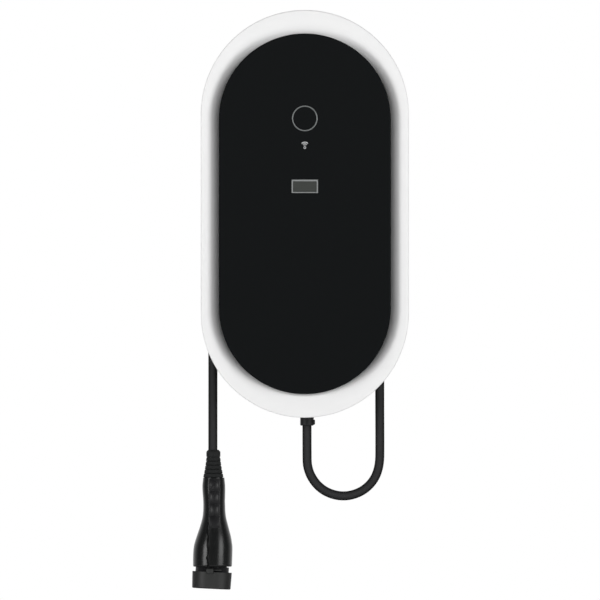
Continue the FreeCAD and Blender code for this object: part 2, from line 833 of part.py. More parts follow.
def board_screws():
    """Screws of the main board and the rail."""
    screws = [screw(small_screw / 2 - thread_gap, small_head / 2, small_head_height, board_depth + board_thickness,
                    board_depth - 8.0, x, z) for x, z in board_places()]
    rail_back = groove_back_depth + rail_foot
    screws += [screw(small_screw / 2 - thread_gap, small_head / 2, small_head_height, rail_back + rail_sheet,
                     rail_back - 4.0, x, z) for x, z in rail_screw_places()]
    return Part.makeCompound(screws)


def power_relays():
    """Three sealed relays in a row on the main board."""
    front = board_depth + board_thickness
    relays = []
    for index in range(relay_count):
        z = board_top - relay_top_gap - index * relay_pitch
        block = box((relay_left, relay_left + relay_length), (front, front + relay_height),
                    (z - relay_width / 2, z + relay_width / 2))
        relays.append(block.makeFillet(relay_fillet, block.Edges))
    return Part.makeCompound(relays)


def fault_current_sensor():
    """Ring sensor on a foot, through which the live wires pass."""
    front = board_depth + board_thickness
    back = front + sensor_foot - 1
    ring = sleeve(sensor_radius, sensor_bore, (back, back + sensor_length), sensor_across, sensor_up)
    foot = box((sensor_across - sensor_radius, sensor_across + sensor_radius), (front, front + sensor_foot),
               (sensor_up - sensor_radius, sensor_up + sensor_radius))
    foot = foot.cut(rod(sensor_bore, (front - 1, back + 2), sensor_across, sensor_up))
    return fused([ring, foot])


def radio_places():
    """The four spacers of the small upper board."""
    across = radio_board_width / 2 - radio_spacer_inset
    up = radio_board_height / 2 - radio_spacer_inset
    return [(radio_across + x, radio_board_up + z) for x in (-across, across) for z in (-up, up)]


def board_spacers():
    """Four hexagon spacers between the two boards."""
    front = board_depth + board_thickness
    spacers = []
    for x, z in radio_places():
        corners = [at(x + spacer_flats / math.sqrt(3) * math.cos(math.radians(60 * k)), front,
                      z + spacer_flats / math.sqrt(3) * math.sin(math.radians(60 * k))) for k in range(6)]
        hexagon = Part.Face(Part.makePolygon(corners + [corners[0]]))
        spacers.append(hexagon.extrude(at(0, radio_spacer, 0)))
    return Part.makeCompound(spacers)


def communication_board():
    """Small upper board with a shielded radio module."""
    back = board_depth + board_thickness + radio_spacer
    front = back + board_thickness
    board = box((radio_left, radio_left + radio_board_width), (back, front),
                (radio_board_up - radio_board_height / 2, radio_board_up + radio_board_height / 2))
    half = radio_board_width / 6
    shield = box((radio_across - half, radio_across + half), (front - 0.2, front + radio_shield_thickness),
                 (radio_board_up - radio_shield_height / 2, radio_board_up + radio_shield_height / 2))
    return fused([board, shield])


def din_rail():
    """Top-hat rail: a web with side walls and two lips."""
    back = groove_back_depth + rail_foot
    front = back + rail_depth
    half = rail_height / 2
    web = rail_height / 2 - 5.0
    sheet = rail_sheet
    outline = [(back, -web), (front - sheet, -web), (front - sheet, -half), (front, -half),
               (front, -web + sheet), (back + sheet, -web + sheet), (back + sheet, web - sheet),
               (front, web - sheet), (front, half), (front - sheet, half), (front - sheet, web), (back, web)]
    rail = polygon_prism([(depth, rail_up + z) for depth, z in outline], (-rail_length / 2, rail_length / 2))
    holes = [rod(small_screw / 2 + fit_gap, (back - 1, back + 3), x, z) for x, z in rail_screw_places()]
    return rail.cut(holes)


def rail_claw(across, width, side):
    """A fixed claw behind one lip of the rail."""
    front = groove_back_depth + rail_foot + rail_depth
    half = rail_height / 2
    outer = half + slide_gap + claw_wall
    claw_front = front - rail_sheet - slide_gap
    claw_back = claw_front - claw_thickness
    span = (across - width / 2, across + width / 2)
    web = [(claw_back, half + slide_gap), (front + 1.0, half + slide_gap), (front + 1.0, outer),
           (claw_back, outer)]
    lip = [(claw_back, half - claw_grip), (claw_front, half - claw_grip), (claw_front, outer),
           (claw_back, outer)]
    pieces = [polygon_prism([(depth, rail_up + side * z) for depth, z in outline], span) for outline in (web, lip)]
    return fused(pieces)


def energy_meter():
    """Meter on the rail: stepped front, fixed claw above and a channel for its latch."""
    back = groove_back_depth + rail_foot + rail_depth + fit_gap
    half = meter_height / 2
    face = back + meter_depth
    shoulder = back + meter_depth * 0.72
    outline = [(back, -half), (shoulder, -half), (shoulder, -half / 2), (face, -half / 2),
               (face, half / 2), (shoulder, half / 2), (shoulder, half), (back, half)]
    span = (meter_across - meter_width / 2, meter_across + meter_width / 2)
    body = polygon_prism([(depth, rail_up + z) for depth, z in outline], span)
    channel = box((meter_across - latch_width / 2 - slide_gap, meter_across + latch_width / 2 + slide_gap),
                  (back - 1, back + latch_thickness + 2 * slide_gap),
                  (rail_up - half - 1, rail_up - rail_height / 2 - slide_gap))
    screen = box((meter_across - 11, meter_across + 11), (face - 0.8, face + 1), (rail_up + 2, rail_up + 14))
    return cut_all(fused([body, rail_claw(meter_across, 20.0, 1)]), [channel, screen])


def meter_latch():
    """Sliding foot of the meter: a flat bar in the channel, a claw behind the rail's lower lip."""
    back = groove_back_depth + rail_foot + rail_depth + fit_gap + slide_gap
    span = (meter_across - latch_width / 2, meter_across + latch_width / 2)
    top = rail_up - rail_height / 2 - 2 * slide_gap
    bottom = rail_up - meter_height / 2 - latch_handle
    bar = box(span, (back, back + latch_thickness), (bottom, top))
    front = groove_back_depth + rail_foot + rail_depth
    claw_front = front - rail_sheet - slide_gap
    claw_back = claw_front - claw_thickness
    claw_top = rail_up - rail_height / 2 + min(claw_grip, latch_travel - 2 * slide_gap)
    web = box(span, (claw_back, back + 0.5), (top - claw_wall, top))
    lip = box(span, (claw_back, claw_front), (top - claw_wall, claw_top))
    eye = rod(1.6, (back - 1, back + latch_thickness + 1), meter_across, bottom + 3.4)
    return fused([bar, web, lip]).cut(eye)


def terminal_places():
    """The middle line of each pole of the terminal block."""
    first = terminal_across - terminal_width * (terminal_count - 1) / 2
    return [first + index * terminal_width for index in range(terminal_count)]


def supply_terminal_block():
    """Row of screw terminals on the rail, with wire funnels above and below."""
    back = groove_back_depth + rail_foot + rail_depth + fit_gap
    width = terminal_width * terminal_count + 4.0
    half = terminal_height / 2
    face = back + terminal_depth
    outline = [(back, -half), (face - 9.0, -half), (face, -half * 0.55), (face, half * 0.55),
               (face - 9.0, half), (back, half)]
    span = (terminal_across - width / 2, terminal_across + width / 2)
    body = polygon_prism([(depth, rail_up + z) for depth, z in outline], span)
    holes = []
    for x in terminal_places():
        for side in (-1, 1):
            low, high = sorted((rail_up + side * (half - 12.0), rail_up + side * (half + 1.0)))
            holes.append(post(terminal_funnel_radius, (low, high), x, face - 16.0))
            holes.append(rod(terminal_screw_radius, (face - terminal_screw_depth, face + 1), x,
                             rail_up + side * half * terminal_screw_share))
    claws = [rail_claw(terminal_across, 30.0, side) for side in (-1, 1)]
    return cut_all(fused([body] + claws), holes)


def terminal_screws():
    """Slotted clamping screws, two for each pole."""
    face = groove_back_depth + rail_foot + rail_depth + fit_gap + terminal_depth
    screws = []
    for x in terminal_places():
        for side in (-1, 1):
            z = rail_up + side * terminal_height / 2 * terminal_screw_share
            floor = face - terminal_screw_depth
            head = rod(terminal_screw_radius - fit_gap, (floor, floor + 3.0), x, z)
            slot = box((x - 2.5, x + 2.5), (floor + 2.0, floor + 4.0), (z - 0.35, z + 0.35))
            screws.append(head.cut(slot))
    return Part.makeCompound(screws)


def gland_levels():
    """Heights of the gland: the wall's outer face, the flange's lower face and the nut's lower face."""
    return body_low, body_low - gland_flange, body_low - gland_flange - gland_nut_height


def gland_seat():
    """Height of the flat pad inside the wall, on which the locknut bears."""
    wall, _, _ = gland_levels()
    return wall + shell_wall + gland_pad_rise


def gland_body():
    """Threaded gland body through the lower wall, with a round flange and a seat for the seal."""
    wall, flange, _ = gland_levels()
    top = gland_seat() + gland_locknut_height + 2.0
    solid = fused([post(gland_radius, (flange, wall), gland_across, gland_depth),
                   post(gland_thread_radius, (flange, top), gland_across, gland_depth)])
    bore = post(cable_radius + slide_gap, (flange - 1, top + 1), gland_across, gland_depth)
    seat = post(seal_radius + fit_gap, (flange - 1, wall + shell_wall), gland_across, gland_depth)
    return solid.cut([bore, seat])


def gland_locknut():
    """Hexagon nut on the inside of the wall."""
    corner = gland_locknut_flats / math.sqrt(3)
    base = gland_seat() + fit_gap
    corners = [at(gland_across + corner * math.cos(math.radians(60 * k)),
                  gland_depth + corner * math.sin(math.radians(60 * k)), base) for k in range(6)]
    face = Part.Face(Part.makePolygon(corners + [corners[0]]))
    nut = face.extrude(at(0, 0, gland_locknut_height))
    return nut.cut(post(gland_thread_radius + fit_gap / 2, (base - 1, base + 10), gland_across, gland_depth))


def gland_seal():
    """Rubber ring squeezed between the gland's body and the cable."""
    wall, flange, _ = gland_levels()
    outer = post(seal_radius, (flange + fit_gap, wall + shell_wall - fit_gap), gland_across, gland_depth)
    return outer.cut(post(cable_radius, (flange - 1, wall + shell_wall + 1), gland_across, gland_depth))


def gland_cap_nut():
    """Round cap nut with a softened lower edge and a clamping lug on its right."""
    _, flange, bottom = gland_levels()
    nut = post(gland_radius, (bottom, flange), gland_across, gland_depth)
    lower = [edge for edge in nut.Edges
             if abs(edge.BoundBox.ZMax - bottom) < 0.01 and edge.Length > gland_radius]
    nut = nut.makeFillet(1.4, lower)
    half = gland_lug_width / 2
    lug = box((gland_across, gland_across + gland_lug_reach), (gland_depth - half, gland_depth + half),
              (bottom + 1.2, flange - 0.8))
    lug_edges = [edge for edge in lug.Edges if edge.BoundBox.XMin > gland_across + gland_lug_reach - 0.01]
    lug = lug.makeFillet(0.9, lug_edges)
    bore = post(cable_radius + fit_gap, (bottom - 1, flange + 1), gland_across, gland_depth)
    screw_across = gland_across + gland_lug_reach - gland_screw_inset
    screw_up = (bottom + flange) / 2
    hole = rod(gland_screw_radius + fit_gap, (gland_depth - half - 1, gland_depth + half + 1),
               screw_across, screw_up)
    seat = rod(gland_screw_radius + gland_screw_head_step + fit_gap,
               (gland_depth + half, gland_depth + gland_radius + 1), screw_across, screw_up)
    return fused([nut, lug]).cut([bore, hole, seat])


def gland_screw():
    """Small screw through the lug."""
    _, flange, bottom = gland_levels()
    half = gland_lug_width / 2
    across = gland_across + gland_lug_reach - gland_screw_inset
    up = (bottom + flange) / 2
    seat = gland_depth + half
    shank = rod(gland_screw_radius, (gland_depth - half, seat + 0.5), across, up)
    head = rod(gland_screw_radius + gland_screw_head_step, (seat, seat + gland_screw_head_height), across, up)
    return fused([shank, head])


def cable_clamp():
    """Saddle that holds the cable inside the housing."""
    back = gland_depth - cable_radius
    front = gland_depth + cable_radius + 2.5
    block = box((gland_across - clamp_width / 2, gland_across + clamp_width / 2), (back, front),
                (clamp_up - clamp_height / 2, clamp_up + clamp_height / 2))
    shoulder_back = back + clamp_shoulder
    removed = [post(cable_radius, (clamp_up - clamp_height, clamp_up + clamp_height), gland_across, gland_depth)]
    removed.append(box((gland_across - cable_radius, gland_across + cable_radius), (back - 1, gland_depth),
                       (clamp_up - clamp_height, clamp_up + clamp_height)))
    for x, z in clamp_places():
        removed.append(rod(small_screw / 2 + fit_gap, (back - 1, front + 1), x, z))
        removed.append(rod(small_head / 2 + slide_gap, (shoulder_back, front + 1), x, z))
    return cut_all(block, removed)


def clamp_screws():
    """Two screws of the cable clamp."""
    back = gland_depth - cable_radius
    return Part.makeCompound([
        screw(small_screw / 2 - thread_gap, small_head / 2, small_head_height, back + clamp_shoulder,
              back - 5.0, x, z)
        for x, z in clamp_places()
    ])


def cable_tail():
    """The cable's end from the gland to above the clamp."""
    _, _, bottom = gland_levels()
    return post(cable_radius, (bottom, clamp_up + clamp_tail), gland_across, gland_depth)


def winding_solid():
    """The turns on the spool as one closed band: one layer on three columns, a second on the last."""
    first = hub_radius + wind_gap
    second = first + cable_diameter
    third = second + cable_diameter
    back = last_column_depth - cable_radius
    front = first_column_depth + cable_radius
    step = last_column_depth + cable_radius + wind_gap
    outline = [(first, back), (third, back), (third, step), (second, step), (second, front), (first, front)]
    return swept_round(polygon(outline), body_side_length)


def loop_points():
    """Route of the free loop: down from the gland, round, and up behind the front flange."""
    _, _, start = gland_levels()
    column = first_column_depth
    left = gland_across
    right = hub_radius + cable_radius - loop_tuck
    return [
        at(left, gland_depth, start),
        at(left, gland_depth, start - loop_sag * 0.31),
        at(left + 0.3, gland_depth - 0.2, start - loop_side_drop),
        at(left + loop_corner, gland_depth - 1.0, start - loop_corner_drop),
        at((left + right) / 2, gland_depth - 4.0, start - loop_sag),
        at(right - loop_corner, gland_depth - 8.0, start - loop_corner_drop),
        at(right, column + 10.8, start - loop_side_drop),
        at(right + 0.15, column + 5.9, start - loop_sag * 0.17),
        at(right, column + 0.9, start + loop_sag * 0.26),
        at(right, column - 0.3, start + loop_sag * 0.72),
        at(right, column, -body_side_length / 2 - 28.0),
    ]


def drop_points():
    """Route of the last half turn, up the right, over the top and down the left to the connector."""
    column = middle_column_depth
    half = body_side_length / 2
    reach = hub_radius + 2 * cable_diameter + drop_step
    corner = reach / math.cos(math.radians(15))
    over = [at(corner * math.cos(math.radians(turn)), column, half + corner * math.sin(math.radians(turn)))
            for turn in range(15, 180, 30)]
    under = [at((hub_radius + rise) * math.cos(math.radians(turn)), column - back,
                -half + (hub_radius + rise) * math.sin(math.radians(turn)))
             for turn, rise, back in drop_climb]
    return under + [
        at(reach - 0.5, column + 0.1, -half * 0.67),
        at(reach - 0.1, column - 0.1, -half * 0.18),
        at(reach - 0.5, column + 0.1, half * 0.3),
        at(reach - 0.2, column, half * 0.78),
    ] + over + [
        at(-reach + 0.2, column - 0.1, half * 0.77),
        at(-reach + 0.6, column + 0.1, half * 0.28),
        at(-reach + 0.4, column - 0.1, -half * 0.2),
        at(-reach + 0.7, column + 0.1, -half * 0.68),
        at(-reach + 0.55, column, -half - 20.0),
        at(connector_across + 0.05, column, body_low + 51.0),
        at(connector_across, column, connector_top + 44.0),
        at(connector_across, column, connector_top - boot_grip),
    ]


def cord_solids():
    """The free loop, the band of turns and the last half turn, which meet without overlapping."""
    winding = winding_solid()
    loop = cable_tube("cable_loop", loop_points()).cut(winding)
    drop = cable_tube("cable_drop", drop_points()).cut(winding)
    return loop, winding, drop


def along(distance):
    """Height at a distance down from the top of the boot."""
    return connector_top - distance


def handle_sections():
    """Cross sections of the handle: distance down, width, thickness, corner and shift to the right."""
    body_end = boot_length + handle_length
    return [
        (boot_length, 24.8, 24.0, 10.5, 1.3),
        (boot_length + 0.1024 * handle_length, 26.4, 27.0, 9.5, 1.5),
        (boot_length + 0.2886 * handle_length, 25.0, 29.0, 9.0, 2.0),
        (boot_length + 0.4283 * handle_length, 27.0, 31.0, 9.5, 1.9),
        (boot_length + 0.5493 * handle_length, 33.4, 36.0, 12.0, 1.7),
        (boot_length + 0.6611 * handle_length, 40.6, 41.5, 15.0, 1.2),
        (boot_length + 0.7588 * handle_length, 45.4, 45.0, 18.0, 0.5),
        (boot_length + 0.8473 * handle_length, 46.6, 46.0, 19.0, 0.0),
        (body_end, 46.2, 45.6, 19.0, -0.4),
    ]


def handle_loft(less=0.0, start=0, proud=0.0):
    """The handle's outer form, or its hollow when less is a wall."""
    wires = []
    for distance, width, thickness, corner, shift in handle_sections()[start:]:
        wires.append(rounded_section(width - 2 * less + 2 * proud, thickness - 2 * less + 2 * proud,
                                     max(corner - less + proud, 1.0), connector_across + shift,
                                     middle_column_depth, along(distance)))
    return Part.makeLoft(wires, True, False)


def handle_body():
    """Outer form with a softened lower edge, hollow from the grip down."""
    solid = handle_loft()
    low = along(boot_length + handle_length)
    rim = [edge for edge in solid.Edges if abs(edge.BoundBox.ZMax - low) < 0.01]
    solid = solid.makeFillet(handle_rim_fillet, rim)
    hollow = handle_loft(handle_wall, 2)
    return solid.cut(hollow)


def handle_half(body, side):
    """The part of the handle left or right of its moulding seam."""
    seam = connector_across + seam_shift
    reach = 60.0
    span = (seam - reach, seam) if side < 0 else (seam, seam + reach)
    keep = box(span, (middle_column_depth - reach, middle_column_depth + reach),
               (along(boot_length + handle_length + 1), along(boot_length - 1)))
    half = body.common(keep)
    tools = []
    for distance in handle_screw_distances():
        z = along(distance)
        tools.append(side_rod(handle_screw_radius + fit_gap / 2, (-60, 60), z))
        tools.append(side_rod(handle_screw_radius + 1.4, (handle_screw_head_across(distance), 60), z))
    return half.cut(tools)


def handle_screw_distances():
    """How far down the connector its two screws sit."""
    return [boot_length + share * handle_length for share in handle_screw_shares]


def side_rod(radius, x_range, z):
    """A cylinder that lies across the connector, from left to right."""
    start = at(connector_across + x_range[0], middle_column_depth, z)
    return Part.makeCylinder(radius, x_range[1] - x_range[0], start, FreeCAD.Vector(1, 0, 0))


def handle_width_at(distance):
    """The handle's width and shift between two cross sections."""
    sections = handle_sections()
    for upper, lower in zip(sections, sections[1:]):
        if upper[0] <= distance <= lower[0]:
            share = (distance - upper[0]) / (lower[0] - upper[0])
            return upper[1] + share * (lower[1] - upper[1]), upper[4] + share * (lower[4] - upper[4])
    return sections[-1][1], sections[-1][4]


def handle_screw_head_across(distance):
    """Where the underside of a screw's head seats, in from the right side."""
    width, shift = handle_width_at(distance)
    return width / 2 + shift - 2.2


def connector_screws():
    """Screws that join the two halves, driven from the right."""
    screws = []
    for distance in handle_screw_distances():
        seat = handle_screw_head_across(distance)
        z = along(distance)
        width, shift = handle_width_at(distance)
        shank = side_rod(handle_screw_radius, (shift - width / 2 + 1.6, seat + 0.5), z)
        head = side_rod(handle_screw_radius + 1.2, (seat, seat + 1.4), z)
        screws.append(fused([shank, head]))
    return Part.makeCompound(screws)


def connector_boot():
    """Flexible boot: a flared sleeve with grooves round it."""
    centre = connector_across + boot_shift
    outline = [(0.0, boot_top_width / 2), (2.6, boot_top_width / 2 + 1.2), (boot_length, boot_end_width / 2)]
    curve = [at(centre, middle_column_depth, along(0.0)),
             at(centre + outline[0][1], middle_column_depth, along(0.0)),
             at(centre + outline[1][1], middle_column_depth, along(outline[1][0])),
             at(centre + 9.0, middle_column_depth, along(14.0)),
             at(centre + 10.6, middle_column_depth, along(24.0)),
             at(centre + outline[2][1], middle_column_depth, along(boot_length)),
             at(centre, middle_column_depth, along(boot_length))]
    face = Part.Face(Part.makePolygon(curve + [curve[0]]))
    solid = face.revolve(at(centre, middle_column_depth, 0), FreeCAD.Vector(0, 0, 1), 360)
    tools = [post(cable_radius, (along(boot_grip), along(-1)), connector_across, middle_column_depth)]
    for index in range(boot_rings):
        level = along(11.5 + index * boot_ring_pitch)
        outer = 8.9 + index * 1.05
        ring = post(outer + 6.0, (level - 1.1, level), centre, middle_column_depth)
        tools.append(ring.cut(post(outer - 0.9, (level - 2, level + 1), centre, middle_column_depth)))
    return cut_all(solid, tools)


def connector_grip_pads():
    """Four raised thumb pads, each thicker towards its lower end, laid on the front of the grip."""
    surface = handle_loft()
    pads = []
    for index in range(pad_count):
        top = along(boot_length + 1.2 + index * pad_pitch)
        low = top - pad_pitch + 1.0
        centre = connector_across + 1.9
        front = middle_column_depth + 40.0
        strip = box((centre - pad_width / 2, centre + pad_width / 2), (middle_column_depth, front), (low, top))
        pads.append(handle_loft(proud=pad_raise).common(strip).cut(surface))
    return Part.makeCompound(pads)


def tilted(shape):
    """The shape turned about the neck to the lean of the connector's head."""
    pivot = at(connector_across + nose_shift, middle_column_depth, along(boot_length + handle_length))
    turned = shape.copy()
    turned.rotate(pivot, FreeCAD.Vector(0, 1, 0), cap_tilt)
    return turned


def nose_outline(grow, distance):
    """The nose's outline, round with one flat side towards the front."""
    half = neck_width / 2 + grow
    flat = half * nose_flat_share
    side = math.sqrt(half**2 - flat**2)
    z = along(distance)
    centre = connector_across + nose_shift
    left = at(centre - side, middle_column_depth + flat, z)
    right = at(centre + side, middle_column_depth + flat, z)
    arc = Part.Arc(left, at(centre, middle_column_depth - half, z), right).toShape()
    return Part.Wire([arc, Part.LineSegment(right, left).toShape()])


def nose_block(grow, distances):
    """A straight piece with the nose's outline."""
    face = Part.Face(nose_outline(grow, distances[0]))
    return face.extrude(at(0, 0, along(distances[1]) - along(distances[0])))


def contact_places():
    """Centres of the five power contacts and the two signal contacts, across and forward."""
    power = [(-8.2, 1.6), (8.2, 1.6), (0.0, 0.6), (-4.6, -8.6), (4.6, -8.6)]
    signal = [(-5.0, 8.6), (5.0, 8.6)]
    return power, signal


def nose_span():
    """Distances down to the nose's inner end, the handle's lower rim and the nose's tip."""
    body_end = boot_length + handle_length
    return body_end - nose_inner, body_end, body_end + neck_length + nose_length


def connector_insert():
    """Nose of the connector: neck, shroud and the block that carries the contacts."""
    inner, body_end, tip = nose_span()
    core = post(insert_radius, (along(body_end + 1), along(inner)), connector_across + nose_shift, middle_column_depth)
    nose = nose_block(0.0, (body_end + fit_gap, tip))
    recess = nose_block(-nose_wall, (tip - nose_recess, tip + 1))
    block = nose_block(-nose_wall - 1.6, (tip - nose_recess - 1, tip - 1.5))
    solid = fused([fused([core, nose]).cut(recess), block])
    power, signal = contact_places()
    holes = []
    for places, radius in ((power, power_pin_radius), (signal, signal_pin_radius)):
        holes += [post(radius, (along(tip + 1), along(tip - contact_length)),
                       connector_across + nose_shift + x, middle_column_depth + y) for x, y in places]
    return tilted(cut_all(solid, holes))


def contact_sleeves(places, radius):
    """Metal sleeves in the insert, each open at its lower end."""
    _, _, tip = nose_span()
    sleeves = []
    for x, y in places:
        centre = (connector_across + nose_shift + x, middle_column_depth + y)
        outer = post(radius - fit_gap / 2, (along(tip - 2.5), along(tip - contact_length + fit_gap)), *centre)
        bore = post(radius * 0.62, (along(tip + 1), along(tip - contact_length + 4.0)), *centre)
        sleeves.append(outer.cut(bore))
    return tilted(Part.makeCompound(sleeves))


def connector_cap():
    """Dust cap over the nose: a tapered cup with a softened lower edge and a small tab above its rim."""
    _, body_end, tip = nose_span()
    top = body_end + neck_length
    low = top + cap_length
    share = cap_depth_share
    centre = connector_across + nose_shift
    wires = [rounded_section(width, width * share, width * 0.4, centre, middle_column_depth, along(distance))
             for distance, width in ((top, cap_top_width), (low, cap_end_width))]
    cup = Part.makeLoft(wires, True, True)
    lower = [edge for edge in cup.Edges if edge.BoundBox.ZMax < along(low) + 0.01]
    cup = cup.makeFillet(cap_edge_fillet, lower)
    hollow = nose_block(slide_gap, (top - 1, tip + 0.5))
    front = middle_column_depth + neck_width / 2 * nose_flat_share + slide_gap
    tab_x = centre + tab_shift
    tab = box((tab_x - tab_width / 2, tab_x + tab_width / 2), (front, front + 2.6),
              (along(top + 3.0), along(top - tab_height)))
    tab_edges = [edge for edge in tab.Edges if edge.BoundBox.ZMin > along(top - tab_height) - 0.01
                 and edge.BoundBox.XLength < 0.01]
    tab = tab.makeFillet(1.2, tab_edges)
    return tilted(fused([cup.cut(hollow), tab]))


def main():
    """Build every piece and write one file for each."""
    os.makedirs("parts", exist_ok=True)
    loop, winding, drop = cord_solids()
    handle = handle_body()
    power, signal = contact_places()
    pieces = {
        "wall_bracket": wall_bracket(),
        "bracket_screws": bracket_screws(),
        "rear_housing": rear_housing(),
        "housing_gasket": housing_gasket(),
        "front_shell": front_shell(),
        "housing_screws": housing_screws(),
        "supply_grommet": supply_grommet(),
        "panel_carrier": panel_carrier(),
        "carrier_screws": carrier_screws(),
        "front_panel": front_panel(),
        "status_ring": status_ring(),
        "status_board": status_board(),
        "display_bezel": display_bezel(),
        "display_window": display_window(),
        "display_module": display_module(),
        "reader_board": reader_board(),
        "reader_screws": reader_screws(),
        "main_board": main_board(),
        "board_screws": board_screws(),
        "power_relays": power_relays(),
        "fault_current_sensor": fault_current_sensor(),
        "board_spacers": board_spacers(),
        "communication_board": communication_board(),
        "din_rail": din_rail(),
        "energy_meter": energy_meter(),
        "meter_latch": meter_latch(),
        "supply_terminal_block": supply_terminal_block(),
        "terminal_screws": terminal_screws(),
        "gland_body": gland_body(),
        "gland_locknut": gland_locknut(),
        "gland_seal": gland_seal(),
        "gland_cap_nut": gland_cap_nut(),
        "gland_screw": gland_screw(),
        "cable_clamp": cable_clamp(),
        "clamp_screws": clamp_screws(),
        "cable_tail": cable_tail(),
        "cable_loop": loop,
        "cable_winding": winding,
        "cable_drop": drop,
        "connector_boot": connector_boot(),
        "connector_left_half": handle_half(handle, -1),
        "connector_right_half": handle_half(handle, 1),
        "connector_grip_pads": connector_grip_pads(),
        "connector_screws": connector_screws(),
        "connector_insert": connector_insert(),
        "power_contacts": contact_sleeves(power, power_pin_radius),
        "signal_contacts": contact_sleeves(signal, signal_pin_radius),
        "connector_cap": connector_cap(),
    }
    for name, shape in pieces.items():
        print(name, "valid" if shape.isValid() else "NOT VALID", len(shape.Solids), round(shape.Volume, 1))
        shape.exportStep(os.path.join("parts", name + ".step"))


if __name__ == "__main__":
    main()
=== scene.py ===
"""A charging station for the wall, dressed for a studio picture."""

import json
import logging
import math
from dataclasses import dataclass, field
from enum import Enum

import bpy
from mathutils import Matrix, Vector

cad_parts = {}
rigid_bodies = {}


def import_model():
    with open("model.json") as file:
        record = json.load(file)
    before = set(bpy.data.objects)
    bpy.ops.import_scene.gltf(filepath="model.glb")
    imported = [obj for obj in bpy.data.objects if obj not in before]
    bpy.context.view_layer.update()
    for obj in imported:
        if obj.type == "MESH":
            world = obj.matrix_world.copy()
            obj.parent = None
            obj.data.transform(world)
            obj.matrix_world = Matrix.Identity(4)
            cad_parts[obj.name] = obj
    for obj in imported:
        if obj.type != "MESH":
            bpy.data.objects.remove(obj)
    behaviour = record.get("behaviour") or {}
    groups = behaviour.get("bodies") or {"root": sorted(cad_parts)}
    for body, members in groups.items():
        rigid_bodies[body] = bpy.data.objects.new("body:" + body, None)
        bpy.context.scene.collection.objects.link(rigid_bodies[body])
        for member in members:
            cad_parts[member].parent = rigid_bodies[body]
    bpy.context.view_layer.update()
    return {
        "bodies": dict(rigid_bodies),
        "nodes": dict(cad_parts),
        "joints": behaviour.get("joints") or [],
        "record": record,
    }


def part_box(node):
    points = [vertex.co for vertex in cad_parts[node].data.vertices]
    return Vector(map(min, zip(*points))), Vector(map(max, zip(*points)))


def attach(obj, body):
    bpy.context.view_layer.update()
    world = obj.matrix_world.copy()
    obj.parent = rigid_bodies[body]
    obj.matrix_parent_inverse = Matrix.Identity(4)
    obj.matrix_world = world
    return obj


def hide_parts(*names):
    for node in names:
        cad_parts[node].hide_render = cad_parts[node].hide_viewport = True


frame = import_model()

logging.basicConfig(level=logging.INFO, format="%(message)s")
log = logging.getLogger("charging station")

MM = 0.001
Piece = bpy.types.Object
Pair = tuple[float, float]
Triple = tuple[float, float, float]


def deselect() -> None:
    """Leave nothing selected, so that an operator acts on the new piece alone."""
    if bpy.context.object and bpy.context.object.mode != "OBJECT":
        bpy.ops.object.mode_set(mode="OBJECT")
    bpy.ops.object.select_all(action="DESELECT")


def take(piece: Piece) -> Piece:
    """Select one piece alone and make it the active one."""
    deselect()
    piece.select_set(True)
    bpy.context.view_layer.objects.active = piece
    return piece


def named(piece: Piece, name: str) -> Piece:
    """Give a piece and its data one name."""
    piece.name = name
    piece.data.name = name
    return piece


def added(name: str, data: bpy.types.ID) -> Piece:
    """Put new data in the scene as an object."""
    made = bpy.data.objects.new(name, data)
    bpy.context.scene.collection.objects.link(made)
    return made


def settled(piece: Piece) -> Piece:
    """Move a piece's place, turn and size into its points."""
    take(piece)
    bpy.ops.object.transform_apply(location=True, rotation=True, scale=True)
    return piece


def edit(piece: Piece) -> None:
    """Open a piece for editing with everything on it selected."""
    take(piece)
    bpy.ops.object.mode_set(mode="EDIT")
    bpy.ops.mesh.select_all(action="SELECT")


def close_up() -> None:
    """Turn every face of the edited piece outwards and leave edit mode."""
    bpy.ops.mesh.select_all(action="SELECT")
    bpy.ops.mesh.normals_make_consistent(inside=False)
    bpy.ops.object.mode_set(mode="OBJECT")


def soft_step(share: float) -> float:
    """A share from 0 to 1, eased at both ends."""
    return share * share * (3 - 2 * share)


class Signal:
    """A shader socket that takes part in Python expressions."""

    def __init__(self, graph: "Graph", socket: bpy.types.NodeSocket) -> None:
        """Wrap a socket.

        Args:
            graph: The graph that it belongs to, which makes the maths nodes.
            socket: The output socket to read.
        """
        self.graph = graph
        self.socket = socket

    def _math(self, operation: str, *values: "Signal | float") -> "Signal":
        """Add one Math node over the values."""
        return self.graph.node("ShaderNodeMath", {"operation": operation}, dict(enumerate(values)))

    def __add__(self, other: "Signal | float") -> "Signal":
        """Sum."""
        return self._math("ADD", self, other)

    __radd__ = __add__

    def __sub__(self, other: "Signal | float") -> "Signal":
        """Difference."""
        return self._math("SUBTRACT", self, other)

    def __rsub__(self, other: "Signal | float") -> "Signal":
        """Difference from a plain number."""
        return self._math("SUBTRACT", other, self)

    def __mul__(self, other: "Signal | float") -> "Signal":
        """Product."""
        return self._math("MULTIPLY", self, other)

    __rmul__ = __mul__

    def __lt__(self, other: "Signal | float") -> "Signal":
        """1 where this is less, else 0."""
        return self._math("LESS_THAN", self, other)

    def larger(self, other: "Signal | float") -> "Signal":
        """The larger of the two."""
        return self._math("MAXIMUM", self, other)

    def remap(self, low: float, high: float, out_low: float, out_high: float) -> "Signal":
        """Carry a range to another one, held at its ends."""
        return self.graph.node(
            "ShaderNodeMapRange", {"clamp": True}, {0: self, 1: low, 2: high, 3: out_low, 4: out_high})

    def spread(self, out_low: float, out_high: float) -> "Signal":
        """Carry noise, which seldom leaves 0.3 to 0.7, to a range."""
        return self.remap(0.3, 0.7, out_low, out_high)


